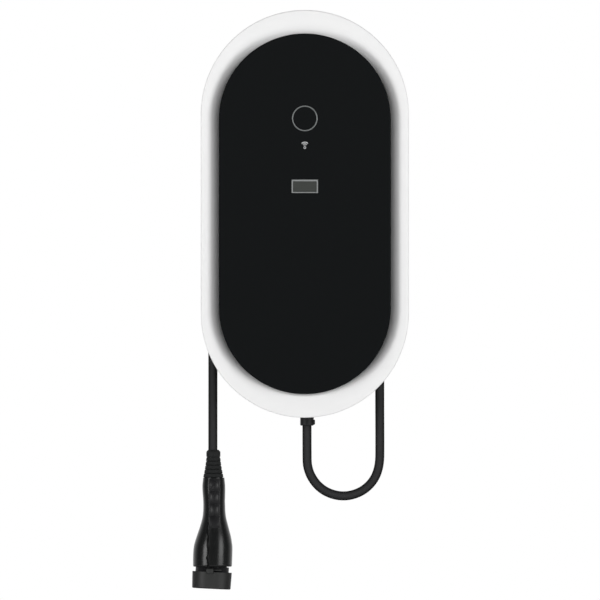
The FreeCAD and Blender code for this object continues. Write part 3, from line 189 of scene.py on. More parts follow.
class Graph:
    """The nodes that lead to one shader, of a material or of the world."""

    def __init__(self, tree: bpy.types.NodeTree, shader: bpy.types.Node) -> None:
        """Take a node tree that has its shader and output in place.

        Args:
            tree: The tree.
            shader: Its shader.
        """
        self.tree = tree
        self.shader = shader

    def node(self, kind: str, settings: dict[str, object] | None = None,
             inputs: dict[int | str, object] | None = None, output: int | str = 0) -> Signal:
        """Add a node.

        Args:
            kind: The node's type.
            settings: Its properties, set before its sockets.
            inputs: Values or signals by socket.
            output: The socket to read.

        Returns:
            The node's output as a signal.
        """
        made = self.tree.nodes.new(kind)
        for key, value in (settings or {}).items():
            setattr(made, key, value)
        for key, value in (inputs or {}).items():
            if isinstance(value, Signal):
                self.tree.links.new(value.socket, made.inputs[key])
            else:
                made.inputs[key].default_value = value
        return Signal(self, made.outputs[output])

    def place(self) -> Signal:
        """The point on the piece, in metres."""
        return self.node("ShaderNodeTexCoord", output="Object")

    def part(self, vector: Signal, letter: str) -> Signal:
        """One coordinate of a vector."""
        return self.node("ShaderNodeSeparateXYZ", inputs={0: vector}, output=letter)

    def facing(self) -> Signal:
        """How squarely the surface faces away from the wall, from -1 to 1."""
        return 0.0 - self.part(self.node("ShaderNodeNewGeometry", output="Normal"), "Y")

    def noise(self, scale: float, detail: float = 3.0, roughness: float = 0.5) -> Signal:
        """Noise over the piece, from 0 to 1."""
        return self.node("ShaderNodeTexNoise", {}, {
            "Vector": self.place(), "Scale": scale, "Detail": detail, "Roughness": roughness})

    def blend(self, share: Signal, first: tuple[float, ...], second: tuple[float, ...]) -> Signal:
        """Mix two colours by a share."""
        colours = {0: share, 6: (*first, 1.0), 7: (*second, 1.0)}
        return self.node("ShaderNodeMix", {"data_type": "RGBA"}, colours, output=2)

    def set(self, **sockets: object) -> None:
        """Set the shader's sockets, each named with underscores for spaces."""
        for key, value in sockets.items():
            socket = self.shader.inputs[key.replace("_", " ")]
            if isinstance(value, Signal):
                self.tree.links.new(value.socket, socket)
            else:
                socket.default_value = value

    def bump(self, height: Signal, distance: float, strength: float = 1.0) -> None:
        """Roughen the surface by a height.

        Args:
            height: The height, from 0 to 1.
            distance: What a height of 1 measures, in metres.
            strength: How much of it shows.
        """
        inputs = {"Height": height, "Distance": distance, "Strength": strength}
        self.set(Normal=self.node("ShaderNodeBump", {}, inputs))


def scaled(colour: Triple, factor: float) -> Triple:
    """A darker or lighter colour."""
    return tuple(channel * factor for channel in colour)


class Dressing(Graph):
    """The graph of a new material, with its Principled shader in place."""

    def __init__(self, name: str) -> None:
        """Make the material.

        Args:
            name: The material's name.
        """
        self.material = bpy.data.materials.new(f"finish_{name}")
        self.material.use_nodes = True
        tree = self.material.node_tree
        super().__init__(tree, tree.nodes["Principled BSDF"])


@dataclass(frozen=True)
class Moulded:
    """Moulded plastic: an even colour with a slight drift, a fine grain and a little wear of the gloss."""

    colour: Triple
    roughness: float
    grain: float = 1800.0
    grain_depth: float = 0.00002
    drift: float = 0.03
    specular: float = 0.5
    coat: float = 0.0

    def build(self, name: str) -> bpy.types.Material:
        """Make the material under a name."""
        graph = Dressing(name)
        darker = scaled(self.colour, 1 - self.drift)
        cloud = graph.noise(14.0)
        grain = graph.noise(self.grain, 2.0)
        graph.set(Base_Color=graph.blend(cloud, darker, self.colour),
                  Roughness=cloud.spread(self.roughness * 0.94, self.roughness * 1.06),
                  Specular_IOR_Level=self.specular, Coat_Weight=self.coat, Coat_Roughness=0.08)
        graph.bump(grain, self.grain_depth, 0.6)
        return graph.material


@dataclass(frozen=True)
class RubberWithPaintedShade:
    """Matt black rubber with painted shading: its colour is paler where it faces away from the wall (painted
    highlight) and darker where it turns aside (painted shade).
    """

    colour: Triple
    roughness: float
    specular: float = 0.1

    def build(self, name: str) -> bpy.types.Material:
        """Make the material under a name."""
        graph = Dressing(name)
        cloud = graph.noise(60.0, 4.0)
        grain = graph.noise(2400.0, 2.0)
        darker = scaled(self.colour, 0.05)
        # Painted highlight and shade: the colour is paler where the surface faces away from the wall and
        # darker towards the edges that turn aside.
        facing = graph.facing().remap(0.45, 1.0, 0.0, 1.0)
        share = facing * cloud.remap(0.2, 0.8, 0.85, 1.0)
        graph.set(Base_Color=graph.blend(share, darker, self.colour),
                  Roughness=cloud.spread(self.roughness - 0.04, self.roughness + 0.05),
                  Specular_IOR_Level=self.specular)
        graph.bump(grain, 0.00003, 0.5)
        return graph.material


@dataclass(frozen=True)
class Metal:
    """Bare metal with fine brushing along one axis."""

    colour: Triple
    roughness: float

    def build(self, name: str) -> bpy.types.Material:
        """Make the material under a name."""
        graph = Dressing(name)
        lengthwise = (60.0, 900.0, 900.0)
        stretched = graph.node("ShaderNodeMapping", {}, {"Vector": graph.place(), "Scale": lengthwise})
        brushed = graph.node("ShaderNodeTexNoise", {}, {"Vector": stretched, "Scale": 2.0, "Detail": 3.0})
        darker = scaled(self.colour, 0.82)
        graph.set(Base_Color=graph.blend(brushed, darker, self.colour), Metallic=1.0,
                  Roughness=brushed.spread(self.roughness * 0.8, self.roughness * 1.25))
        graph.bump(brushed, 0.00002, 0.5)
        return graph.material


@dataclass(frozen=True)
class Board:
    """Circuit board: green lacquer with copper tracks under it."""

    colour: Triple

    def build(self, name: str) -> bpy.types.Material:
        """Make the material under a name."""
        graph = Dressing(name)
        across = graph.node("ShaderNodeTexVoronoi", {"distance": "CHEBYCHEV", "feature": "DISTANCE_TO_EDGE"},
                            {"Vector": graph.place(), "Scale": 160.0})
        track = across < 0.06
        lighter = tuple(min(1.0, channel * 1.9 + 0.02) for channel in self.colour)
        graph.set(Base_Color=graph.blend(track, self.colour, lighter), Roughness=0.35)
        graph.bump(track, 0.00004, 0.5)
        return graph.material


@dataclass(frozen=True)
class Clear:
    """Tinted clear plastic over the display."""

    colour: Triple
    alpha: float

    def build(self, name: str) -> bpy.types.Material:
        """Make the material under a name."""
        graph = Dressing(name)
        cloud = graph.noise(40.0)
        graph.set(Base_Color=(*self.colour, 1.0), Roughness=cloud.spread(0.32, 0.4), Alpha=self.alpha,
                  Specular_IOR_Level=0.2)
        return graph.material


@dataclass(frozen=True)
class Flat:
    """Plain dull material for the stage."""

    colour: Triple

    def build(self, name: str) -> bpy.types.Material:
        """Make the material under a name."""
        graph = Dressing(name)
        graph.set(Base_Color=(*self.colour, 1.0), Roughness=0.9)
        return graph.material


class Finish(Enum):
    """Every finish on the station."""

    WHITE_SHELL = Moulded((0.87, 0.87, 0.87), 0.5, specular=0.3)
    BLACK_PANEL = Moulded((0.0078, 0.0086, 0.0090), 0.3, grain_depth=0.000002, specular=0.02)
    BLACK_PLASTIC = Moulded((0.02, 0.02, 0.022), 0.5)
    LIGHT_RING = Moulded((0.17, 0.18, 0.18), 0.4)
    DISPLAY_FRAME = Moulded((0.25, 0.26, 0.26), 0.4)
    DISPLAY_WINDOW = Clear((0.059, 0.063, 0.059), 0.85)
    DISPLAY_SCREEN = Moulded((0.085, 0.09, 0.085), 0.5)
    MARK_INK = Moulded((0.5, 0.51, 0.51), 0.5)
    CIRCUIT_BOARD = Board((0.02, 0.13, 0.05))
    RELAY_CASE = Moulded((0.04, 0.04, 0.05), 0.45)
    METER_CASE = Moulded((0.72, 0.73, 0.73), 0.45)
    LATCH_PLASTIC = Moulded((0.3, 0.31, 0.32), 0.45)
    TERMINAL_CASE = Moulded((0.4, 0.42, 0.43), 0.45)
    ZINC_STEEL = Metal((0.62, 0.63, 0.64), 0.35)
    SCREW_STEEL = Metal((0.55, 0.55, 0.56), 0.3)
    CONTACT_METAL = Metal((0.8, 0.78, 0.72), 0.25)
    SEAL_RUBBER = Moulded((0.03, 0.03, 0.03), 0.75)
    GLAND_PLASTIC = Moulded((0.018, 0.018, 0.019), 0.5, specular=0.2)
    # Painted shade on the cable: paler where it faces away from the wall, darker towards its edges.
    CABLE_SHEATH = RubberWithPaintedShade((0.034, 0.034, 0.035), 0.6)
    CONNECTOR_SHELL = Moulded((0.008, 0.0085, 0.0085), 0.24, specular=0.36)
    GRIP_RUBBER = Moulded((0.010, 0.010, 0.011), 0.4, specular=0.42)
    INSERT_PLASTIC = Moulded((0.009, 0.009, 0.01), 0.5, specular=0.2)
    # Painted shade on the cap: paler where it faces away from the wall, darker towards its sides.
    CAP_RUBBER = RubberWithPaintedShade((0.032, 0.033, 0.032), 0.5, 0.35)
    BOOT_RUBBER = Moulded((0.012, 0.013, 0.013), 0.62, specular=0.25)

    def material(self) -> bpy.types.Material:
        """The finish's one material, made when it is first asked for."""
        if self not in MADE:
            MADE[self] = self.value.build(self.name.lower())
        return MADE[self]


MADE: dict[Finish, bpy.types.Material] = {}


@dataclass(frozen=True)
class Lamp:
    """One soft rectangular lamp that points at the object, in metres and watts."""

    name: str
    place: Triple
    size: Pair
    power: float
    mirrored: bool = True

    def hang(self, target: Vector) -> None:
        """Hang the lamp.

        Args:
            target: What it points at.
        """
        data = bpy.data.lights.new(self.name, "AREA")
        data.shape = "RECTANGLE"
        data.size, data.size_y = self.size
        data.energy = self.power
        lamp = added(self.name, data)
        lamp.location = self.place
        lamp.rotation_euler = (target - Vector(self.place)).to_track_quat("-Z", "Y").to_euler()
        lamp.visible_glossy = self.mirrored


@dataclass
class Studio:
    """Camera, floor, lamps and background."""

    picture_width: float = 722.4 * MM
    centre_across: float = -5.8 * MM
    centre_up: float = -103.5 * MM
    object_plane: float = -70.0 * MM
    lens: float = 1200.0
    sensor: float = 36.0
    floor_up: float = -0.62
    floor_size: float = 3.0
    floor_colour: Triple = (0.8, 0.8, 0.8)
    side_light: float = 0.65
    lamps: tuple[Lamp, ...] = (
        Lamp("left_lamp", (-0.75, -2.9, 0.5), (1.6, 0.6), 17.0, mirrored=False),
        Lamp("right_lamp", (0.75, -2.9, 0.5), (1.6, 0.6), 17.0, mirrored=False),
        Lamp("left_screen", (-2.08, -2.02, -0.2), (1.05, 1.7), 33.0),
        Lamp("right_screen", (2.05, -1.95, -0.2), (1.3, 1.7), 34.0))

    def build(self) -> None:
        """Set up the whole studio."""
        self.camera()
        self.floor()
        for lamp in self.lamps:
            lamp.hang(Vector((0, -0.1, 0)))
        self.background()

    def camera(self) -> None:
        """Place a long-lens camera straight in front."""
        data = bpy.data.cameras.new("camera")
        data.lens = self.lens
        data.sensor_width = self.sensor
        data.clip_end = 100.0
        camera = added("camera", data)
        away = self.picture_width * self.lens / self.sensor
        camera.location = (self.centre_across, self.object_plane - away, self.centre_up)
        camera.rotation_euler = (math.radians(90), 0, 0)
        bpy.context.scene.camera = camera

    def floor(self) -> None:
        """Lay a pale floor under the object, out of the front view."""
        deselect()
        bpy.ops.mesh.primitive_plane_add(size=self.floor_size, location=(0, 0, self.floor_up))
        floor = named(bpy.context.object, "floor")
        floor.data.materials.append(Flat(self.floor_colour).build("floor"))

    def background(self) -> None:
        """White for the camera and behind clear plastic, else light that is stronger behind the object."""
        world = bpy.data.worlds.new("studio")
        bpy.context.scene.world = world
        world.use_nodes = True
        tree = world.node_tree
        white = (1.0, 1.0, 1.0, 1.0)
        graph = Graph(tree, tree.nodes["Background"])
        direction = graph.node("ShaderNodeTexCoord", output="Generated")
        behind = graph.part(direction, "Y").remap(0.1, 0.7, 0.1, 1.0)
        mirrored = graph.node("ShaderNodeLightPath", output="Is Glossy Ray")
        graph.set(Color=white, Strength=behind * mirrored.remap(0.0, 1.0, self.side_light, 1.0))
        seen = graph.node("ShaderNodeLightPath", output="Is Camera Ray")
        through = graph.node("ShaderNodeLightPath", output="Is Transmission Ray")
        plain = graph.node("ShaderNodeBackground", inputs={"Color": white, "Strength": 1.0})
        light = Signal(graph, graph.shader.outputs[0])
        mix = graph.node("ShaderNodeMixShader", inputs={0: seen.larger(through), 1: light, 2: plain})
        tree.links.new(mix.socket, tree.nodes["World Output"].inputs["Surface"])


@dataclass
class Cable:
    """The cable: a free loop, turns round the spool and the strand that carries the connector.

    Its diameter and length are in metres, the rest in millimetres and degrees. A point is its distance
    right, its depth from the wall and its height.
    """

    diameter: float = 11.0 * MM
    length: float = 5.64
    section_steps: int = 5
    stretch_steps: int = 8
    straight: float = 240.0
    hub: float = 85.3
    columns: Triple = (38.5, 25.75, 13.0)
    side_heights: Triple = (-70.0, 0.0, 70.0)
    arc_step: int = 30
    last_radius: float = 111.8
    loop: tuple[Triple, ...] = (
        (2.6, 61.5, -254.8), (2.6, 61.5, -282.0), (2.9, 61.3, -309.8), (19.4, 60.5, -332.9),
        (46.5, 57.5, -341.7), (73.6, 53.5, -332.9), (90.3, 49.3, -309.8), (90.5, 44.4, -270.0),
        (90.3, 39.4, -232.0), (90.35, 38.2, -192.0), (90.35, 38.5, -148.0))
    leaving: tuple[Triple, ...] = (
        (50.5, 13.75, -207.5), (78.0, 16.25, -189.5), (100.5, 20.75, -165.0), (112.0, 24.75, -133.5),
        (111.0, 25.85, -80.0), (111.4, 25.65, -22.0), (111.0, 25.85, 36.0), (111.3, 25.75, 94.0))
    hanging: tuple[Triple, ...] = (
        (-111.3, 25.65, 92.0), (-110.9, 25.85, 34.0), (-111.1, 25.65, -24.0), (-110.8, 25.85, -82.0),
        (-110.95, 25.75, -140.0), (-110.85, 25.75, -194.0), (-110.9, 25.75, -240.1), (-110.9, 25.75, -293.1))

    def arc(self, radius: float, depths: Pair, turns: range) -> list[Triple]:
        """Points round one end of the spool, with a change of depth on the way.

        Args:
            radius: The cable's distance from the end's centre.
            depths: The depth where the arc begins and where it ends.
            turns: The points' angles.

        Returns:
            The points.
        """
        corner = radius / math.cos(math.radians(self.arc_step / 2))
        points = []
        for index, turn in enumerate(turns):
            share = index / (len(turns) - 1)
            centre = self.straight / 2 if turn < 180 else -self.straight / 2
            depth = depths[0] + share * (depths[1] - depths[0])
            points.append((corner * math.cos(math.radians(turn)), depth,
                           centre + corner * math.sin(math.radians(turn))))
        return points

    def turn(self, layer: int, column: int, following: int, last: range) -> list[Triple]:
        """One turn round the spool: up the right, over the top, down the left and under.

        Args:
            layer: The layer it lies on, from 0.
            column: The column it fills.
            following: The column it moves to under the spool.
            last: The angles of the stretch under the spool.

        Returns:
            The turn's points.
        """
        radius = self.hub + self.diameter / MM * (layer + 0.5)
        depth = self.columns[column]
        up = [(radius, depth, height) for height in self.side_heights]
        down = [(-radius, depth, height) for height in reversed(self.side_heights)]
        over = self.arc(radius, (depth, depth), range(15, 180, self.arc_step))
        under = self.arc(radius, (depth, self.columns[following]), last)
        return up + over + down + under

    def route(self) -> list[Vector]:
        """The whole route from the gland to the connector, in metres."""
        whole = range(195, 360, self.arc_step)
        short = range(195, 300, self.arc_step)
        points = list(self.loop)
        points += self.turn(0, 0, 1, whole)
        points += self.turn(0, 1, 2, whole)
        points += self.turn(0, 2, 2, whole)
        points += self.turn(1, 2, 2, short)
        points += self.leaving
        middle = self.columns[1]
        points += self.arc(self.last_radius, (middle, middle), range(15, 180, self.arc_step))
        points += self.hanging
        return [Vector((x, -depth, z)) * MM for x, depth, z in points]

    def build(self) -> Piece:
        """Draw the cable as one smooth line with a round section.

        Returns:
            The cable.
        """
        data = bpy.data.curves.new("cable", "CURVE")
        data.dimensions = "3D"
        data.bevel_depth = self.diameter / 2
        data.bevel_resolution = self.section_steps
        data.resolution_u = self.stretch_steps
        data.use_fill_caps = True
        route = self.route()
        spline = data.splines.new("NURBS")
        spline.points.add(len(route) - 1)
        for point, place in zip(spline.points, route):
            point.co = (*place, 1.0)
        spline.order_u = 3
        spline.use_endpoint_u = True
        cable = added("cable", data)
        cable.data.materials.append(Finish.CABLE_SHEATH.material())
        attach(cable, "root")
        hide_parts("cable_loop", "cable_winding", "cable_drop")
        return cable

    def declare(self, carried: list[object]) -> None:
        """Work out the cable's route and take its first point; nothing is declared.

        Args:
            carried: The pieces on it; not used.
        """
        tuple(self.route()[0])


@dataclass(frozen=True)
class Ring:
    """One cross section of a drawn body, in millimetres: its centre, width and thickness."""

    across: float
    depth: float
    up: float
    width: float
    thick: float

    @property
    def centre(self) -> Vector:
        """The centre in metres."""
        return Vector((self.across, -self.depth, self.up)) * MM


def eased(stations: list[tuple[float, ...]], place: float) -> list[float]:
    """Values at a place between stations, on smooth curves through them.

    Args:
        stations: A place and its values, in rising order of place.
        place: Where to read.

    Returns:
        The values there.
    """
    last = len(stations) - 1
    step = next((index for index in range(last) if place <= stations[index + 1][0]), last - 1)
    start, end = stations[step], stations[step + 1]
    span = end[0] - start[0]
    share = (place - start[0]) / span
    before = stations[max(step - 1, 0)]
    after = stations[min(step + 2, last)]
    values = []
    for first, second, low, high in zip(start[1:], end[1:], before[1:], after[1:]):
        lean_in = (second - low) / (end[0] - before[0]) * span
        lean_out = (high - first) / (after[0] - start[0]) * span
        square, cube = share * share, share ** 3
        values.append((2 * cube - 3 * square + 1) * first + (cube - 2 * square + share) * lean_in
                      + (3 * square - 2 * cube) * second + (cube - square) * lean_out)
    return values


def drawn(name: str, sides: int, rings: list[Ring]) -> Piece:
    """Draw a closed body from a disc, ring by ring.

    Args:
        name: The piece's name.
        sides: Points round each ring.
        rings: The cross sections in order.

    Returns:
        The piece.
    """
    deselect()
    bpy.ops.mesh.primitive_circle_add(vertices=sides, radius=0.5, fill_type="NGON")
    piece = named(bpy.context.object, name)
    edit(piece)
    start = rings[0]
    bpy.ops.transform.resize(value=(start.width * MM, start.thick * MM, 1), center_override=(0, 0, 0))
    bpy.ops.transform.translate(value=start.centre)
    for before, ring in zip(rings, rings[1:]):
        bpy.ops.mesh.extrude_region_move(TRANSFORM_OT_translate={"value": ring.centre - before.centre})
        grow = (ring.width / before.width, ring.thick / before.thick, 1)
        bpy.ops.transform.resize(value=grow, center_override=ring.centre)
    close_up()
    return piece


def modified(piece: Piece, kind: str, **settings: object) -> Piece:
    """Add one modifier to a piece and apply it."""
    take(piece)
    bpy.ops.object.modifier_add(type=kind)
    modifier = piece.modifiers[-1]
    for key, value in settings.items():
        setattr(modifier, key, value)
    bpy.ops.object.modifier_apply(modifier=modifier.name)
    return piece


def cut_with(piece: Piece, tools: list[Piece]) -> None:
    """Cut pieces out of another one and remove them.

    Args:
        piece: The piece that is cut.
        tools: The pieces to take away.
    """
    for tool in tools:
        modified(piece, "BOOLEAN", operation="DIFFERENCE", solver="EXACT", object=tool)
        log.info("cut %s with %s: %d points", piece.name, tool.name, len(piece.data.vertices))
        bpy.data.objects.remove(tool)


def smoothed(piece: Piece, degrees: float = 35.0) -> Piece:
    """Shade a piece smooth but for edges sharper than an angle."""
    take(piece)
    bpy.ops.object.shade_smooth_by_angle(angle=math.radians(degrees))
    return piece


def block(name: str, across: Pair, depth: Pair, up: Pair) -> Piece:
    """Make a plain block from its reach across, in depth and up, in millimetres."""
    deselect()
    bpy.ops.mesh.primitive_cube_add(size=1.0)
    piece = named(bpy.context.object, name)
    low = Vector((across[0], -depth[1], up[0])) * MM
    high = Vector((across[1], -depth[0], up[1])) * MM
    edit(piece)
    bpy.ops.transform.resize(value=high - low, center_override=(0, 0, 0))
    bpy.ops.transform.translate(value=(low + high) / 2)
    bpy.ops.object.mode_set(mode="OBJECT")
    return piece


def bevelled(piece: Piece, width: float, segments: int = 3) -> Piece:
    """Round a piece's sharp edges by a width in millimetres."""
    return modified(piece, "BEVEL", width=width * MM, segments=segments, limit_method="ANGLE")


def joined(name: str, pieces: list[Piece]) -> Piece:
    """Join pieces into one."""
    deselect()
    for piece in pieces:
        piece.select_set(True)
    bpy.context.view_layer.objects.active = pieces[0]
    bpy.ops.object.join()
    return named(bpy.context.object, name)


def finished(piece: Piece, finish: Finish, slot: str, body: str, *nodes: str) -> Piece:
    """Give a piece its finish, say which body it rides on and which CAD nodes it stands for.

    Args:
        piece: The piece.
        finish: Its finish.
        slot: The material slot it belongs to; not used.
        body: The body it rides on.
        nodes: The CAD nodes that it replaces.

    Returns:
        The piece.
    """
    piece.data.materials.clear()
    piece.data.materials.append(finish.material())
    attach(piece, body)
    if nodes:
        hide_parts(*nodes)
    log.info("%s: %d faces", piece.name, len(piece.data.polygons))
    return piece


@dataclass
class FrontShell:
    """White front frame. Its bowl is deep and steep along the sides and shallow at both ends.

    Lengths are in millimetres and angles in degrees. Depths are counted from the wall.
    """

    radius: float = 124.94
    side: float = 240.0
    bowl_side: float = 226.9
    front: float = 118.0
    rim: float = 82.2
    wall: float = 3.0
    fillet: float = 1.4
    crest: float = 123.3
    floor: float = 93.17
    opening: float = 70.0
    floor_radii: tuple[float, ...] = (84.0, 88.0, 90.0, 92.0, 94.0, 95.5)
    lip_radius: float = 18.0
    lip_turn: float = 35.0
    steepness: float = 76.0
    foot_radius: float = 4.0
    end_drop: float = 3.8
    end_reach: float = 100.0
    end_foot: float = 88.0
    end_power: float = 1.6
    inner_drop: float = 9.0
    inner_reach: float = 100.0
    blend_start: float = 15.0
    blend_span: float = 70.0
    lip_steps: int = 6
    bend_steps: int = 16
    fillet_steps: int = 7
    arc_steps: int = 64
    side_steps: int = 10

    def outline_point(self, radius: float, straight: float, index: int) -> Vector:
        """One point of a stadium outline, counted anticlockwise from the right end of the top arc.

        Args:
            radius: The end arcs' radius.
            straight: The length of the straight sides.
            index: Which point.

        Returns:
            The point, as distance right, 0 and height.
        """
        half, step = divmod(index, self.arc_steps + self.side_steps)
        facing = 1 if half == 0 else -1
        if step < self.arc_steps:
            turn = math.pi * step / self.arc_steps
            return facing * Vector((radius * math.cos(turn), 0, straight / 2 + radius * math.sin(turn)))
        share = (step - self.arc_steps) / self.side_steps
        return facing * Vector((-radius, 0, straight / 2 * (1 - 2 * share)))

    def slope(self) -> list[Pair]:
        """The bowl's outline along the sides, from the floor up to the crest, as radius and depth.

        A foot, a long bend and a lip meet without a corner. The bend's radius follows from the others.
        """
        lip = math.radians(self.lip_turn)
        steep = math.radians(self.steepness)
        drop = self.front - self.floor
        drop -= self.lip_radius * (1 - math.cos(lip)) + self.foot_radius * (1 - math.cos(steep))
        bend = drop / (math.cos(lip) - math.cos(steep))
        top = self.front - self.lip_radius
        step = self.lip_radius - bend
        middle = (self.crest - step * math.sin(lip), top + step * math.cos(lip))
        step = bend + self.foot_radius
        foot = (middle[0] - step * math.sin(steep), middle[1] + step * math.cos(steep))
        crest = (self.crest, top)
        points = [self.on_circle(foot, -self.foot_radius, steep * index / self.lip_steps)
                  for index in range(self.lip_steps + 1)]
        points += [self.on_circle(middle, bend, steep + (lip - steep) * index / self.bend_steps)
                   for index in range(1, self.bend_steps + 1)]
        points += [self.on_circle(crest, self.lip_radius, lip * (1 - index / self.lip_steps))
                   for index in range(1, self.lip_steps + 1)]
        return points

    def on_circle(self, centre: Pair, radius: float, turn: float) -> Pair:
        """The point of a circle, as radius and depth, where the surface leans by an angle in radians."""
        return centre[0] - radius * math.sin(turn), centre[1] + radius * math.cos(turn)

    def end_depth(self, radius: float) -> float:
        """The bowl's depth at the middle of the top and bottom ends."""
        if radius >= self.end_reach:
            share = (self.crest - radius) / (self.crest - self.end_reach)
            return self.front - self.end_drop * share ** self.end_power
        share = min(1.0, (self.end_reach - radius) / (self.end_reach - self.end_foot))
        start = self.front - self.end_drop
        return start - (start - self.floor) * soft_step(share)

    def towards_end(self, index: int) -> float:
        """How far a place round the outline is turned from a side to an end, from 0 to 1."""
        place = self.outline_point(1.0, 0.0, index)
        on_arc = place.length > 0.99
        turn = math.degrees(math.asin(min(1.0, abs(place.z)))) if on_arc else 0.0
        return soft_step(min(1.0, max(0.0, (turn - self.blend_start) / self.blend_span)))

    def profile(self) -> list[tuple[float, float, float, bool]]:
        """The closed section: radius, depth, length of the straight side and whether the ends reshape it."""
        flat = [(radius, self.floor) for radius in (self.opening, *self.floor_radii)]
        bowl = [(radius, depth, self.bowl_side, True) for radius, depth in flat + self.slope()]
        edge = []
        for index in range(self.fillet_steps + 1):
            turn = math.pi / 2 * (1 - index / self.fillet_steps)
            edge.append((self.radius - self.fillet + self.fillet * math.cos(turn),
                         self.front - self.fillet + self.fillet * math.sin(turn), self.side, False))
        inner = self.radius - self.wall
        under = self.floor - self.wall
        back = [(self.radius, self.rim, self.side, False), (inner, self.rim, self.side, False),
                (inner, self.front - self.inner_drop, self.side, False),
                (self.inner_reach, under, self.bowl_side, False),
                (self.opening, under, self.bowl_side, False)]
        return bowl + edge + back

    def build(self) -> Piece:
        """Make the shell as one section after another round the outline.

        Returns:
            The shell.
        """
        profile = self.profile()
        rows = len(profile)
        count = 2 * (self.arc_steps + self.side_steps)
        points = []
        faces = []
        for index in range(count):
            share = self.towards_end(index)
            for radius, depth, side, blended in profile:
                place = self.outline_point(radius, side, index)
                if blended:
                    depth += share * (self.end_depth(radius) - depth)
                points.append(Vector((place.x, -depth, place.z)) * MM)
            first = index * rows
            second = (index + 1) % count * rows
            for row in range(rows):
                following = (row + 1) % rows
                faces.append((first + row, first + following, second + following, second + row))
        mesh = bpy.data.meshes.new("shell")
        mesh.from_pydata(points, [], faces)
        mesh.validate()
        shell = added("shell", mesh)
        edit(shell)
        close_up()
        return finished(smoothed(shell, 30.0), Finish.WHITE_SHELL, "white_shell", "root", "front_shell")


def panel_front() -> float:
    """Depth of the panel's front, in millimetres."""
    return -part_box("front_panel")[0].y / MM


@dataclass
class PanelFace:
    """What shows on the black panel: the ring, the wireless mark and the display, in millimetres."""

    ring_up: float = 114.65
    ring_middle: float = 14.7
    ring_line: float = 1.7
    ring_sunk: float = 0.9
    mark_up: float = 80.7
    mark_opening: float = 44.0
    mark_arcs: tuple[Pair, ...] = ((5.4, 1.1), (3.6, 0.8), (2.1, 0.7))
    mark_dot: Pair = (1.2, 0.7)
    mark_depths: Pair = (-0.05, 0.12)
    display_up: float = 33.1
    display_half: Pair = (15.8, 8.0)
    frame_depths: Pair = (-3.0, 0.28)
    frame_bars: Triple = (1.6, 1.2, 2.0)
    window_depths: Pair = (-1.9, -0.5)
    window_bars: Triple = (1.9, 1.5, 2.4)
    front: float = field(default_factory=panel_front)

    def build(self) -> None:
        """Make the parts on the panel."""
        self.ring()
        self.mark()
        self.bezel()
        self.window()

    def ring(self) -> Piece:
        """Light ring, slightly domed, in the panel's groove."""
        deselect()
        bpy.ops.mesh.primitive_torus_add(
            major_segments=96, minor_segments=14, major_radius=self.ring_middle * MM,
            minor_radius=self.ring_line / 2 * MM, rotation=(math.pi / 2, 0, 0),
            location=Vector((0, self.ring_sunk - self.front, self.ring_up)) * MM)
        ring = settled(named(bpy.context.object, "ring"))
        bpy.ops.object.shade_smooth()
        return finished(ring, Finish.LIGHT_RING, "light_ring", "root", "status_ring")

    def fan(self, radius: float, line: float, reach: float, middle: float) -> Piece:
        """A flat arc, spun about a point on the panel.

        Args:
            radius: Its middle radius.
            line: Its line's width.
            reach: How far it opens to each side of straight up, in degrees.
            middle: The height of the point.

        Returns:
            The arc.
        """
        deselect()
        bpy.ops.mesh.primitive_plane_add(size=1.0, rotation=(0, 0, 0))
        piece = bpy.context.object
        turn = math.radians(90 - reach)
        centre = Vector((0, 0, middle)) * MM
        out = Vector((math.cos(turn), 0, math.sin(turn)))
        corners = [(away, self.front + rise) for rise in self.mark_depths
                   for away in (radius - line / 2, radius + line / 2)]
        for vertex, (away, depth) in zip(piece.data.vertices, corners):
            vertex.co = centre + out * away * MM + Vector((0, -depth * MM, 0))
        edit(piece)
        steps = max(8, int(reach / 4))
        bpy.ops.mesh.spin(steps=steps, angle=math.radians(2 * reach), center=centre, axis=(0, 1, 0))
        bpy.ops.mesh.select_all(action="SELECT")
        bpy.ops.mesh.remove_doubles(threshold=0.001 * MM)
        close_up()
        return piece

    def mark(self) -> Piece:
        """The wireless mark: three arcs and a small ring under them."""
        arcs = [self.fan(radius, line, self.mark_opening, self.mark_up) for radius, line in self.mark_arcs]
        dot = self.fan(*self.mark_dot, 179.9, self.mark_up - 1.1)
        mark = joined("mark", arcs + [dot])
        return finished(mark, Finish.MARK_INK, "light_ring", "root")

    def on_display(self, name: str, depths: Pair, bars: Triple = (0.0, 0.0, 0.0)) -> Piece:
        """A block over the display.

        Args:
            name: Its name.
            depths: Where it begins and ends, counted outwards from the panel's front.
            bars: How much narrower it is than the display at each side, at the foot and at the top.

        Returns:
            The block.
        """
        side, foot, top = bars
        wide, high = self.display_half
        return block(name, (side - wide, wide - side), (self.front + depths[0], self.front + depths[1]),
                     (self.display_up - high + foot, self.display_up + high - top))

    def bezel(self) -> Piece:
        """Frame of the display: a wide upper bar, narrower sides and a thin lower bar."""
        frame = self.on_display("bezel", self.frame_depths)
        back, front = self.frame_depths
        cut_with(frame, [self.on_display("opening", (back - 1, front + 1), self.frame_bars)])
        return finished(smoothed(bevelled(frame, 0.25)), Finish.DISPLAY_FRAME, "display_frame", "root",
                        "display_bezel")

    def window(self) -> Piece:
        """Clear window that fills the frame."""
        pane = self.on_display("window", self.window_depths, self.window_bars)
        return finished(bevelled(pane, 0.1, 1), Finish.DISPLAY_WINDOW, "display_window", "root",
                        "display_window")


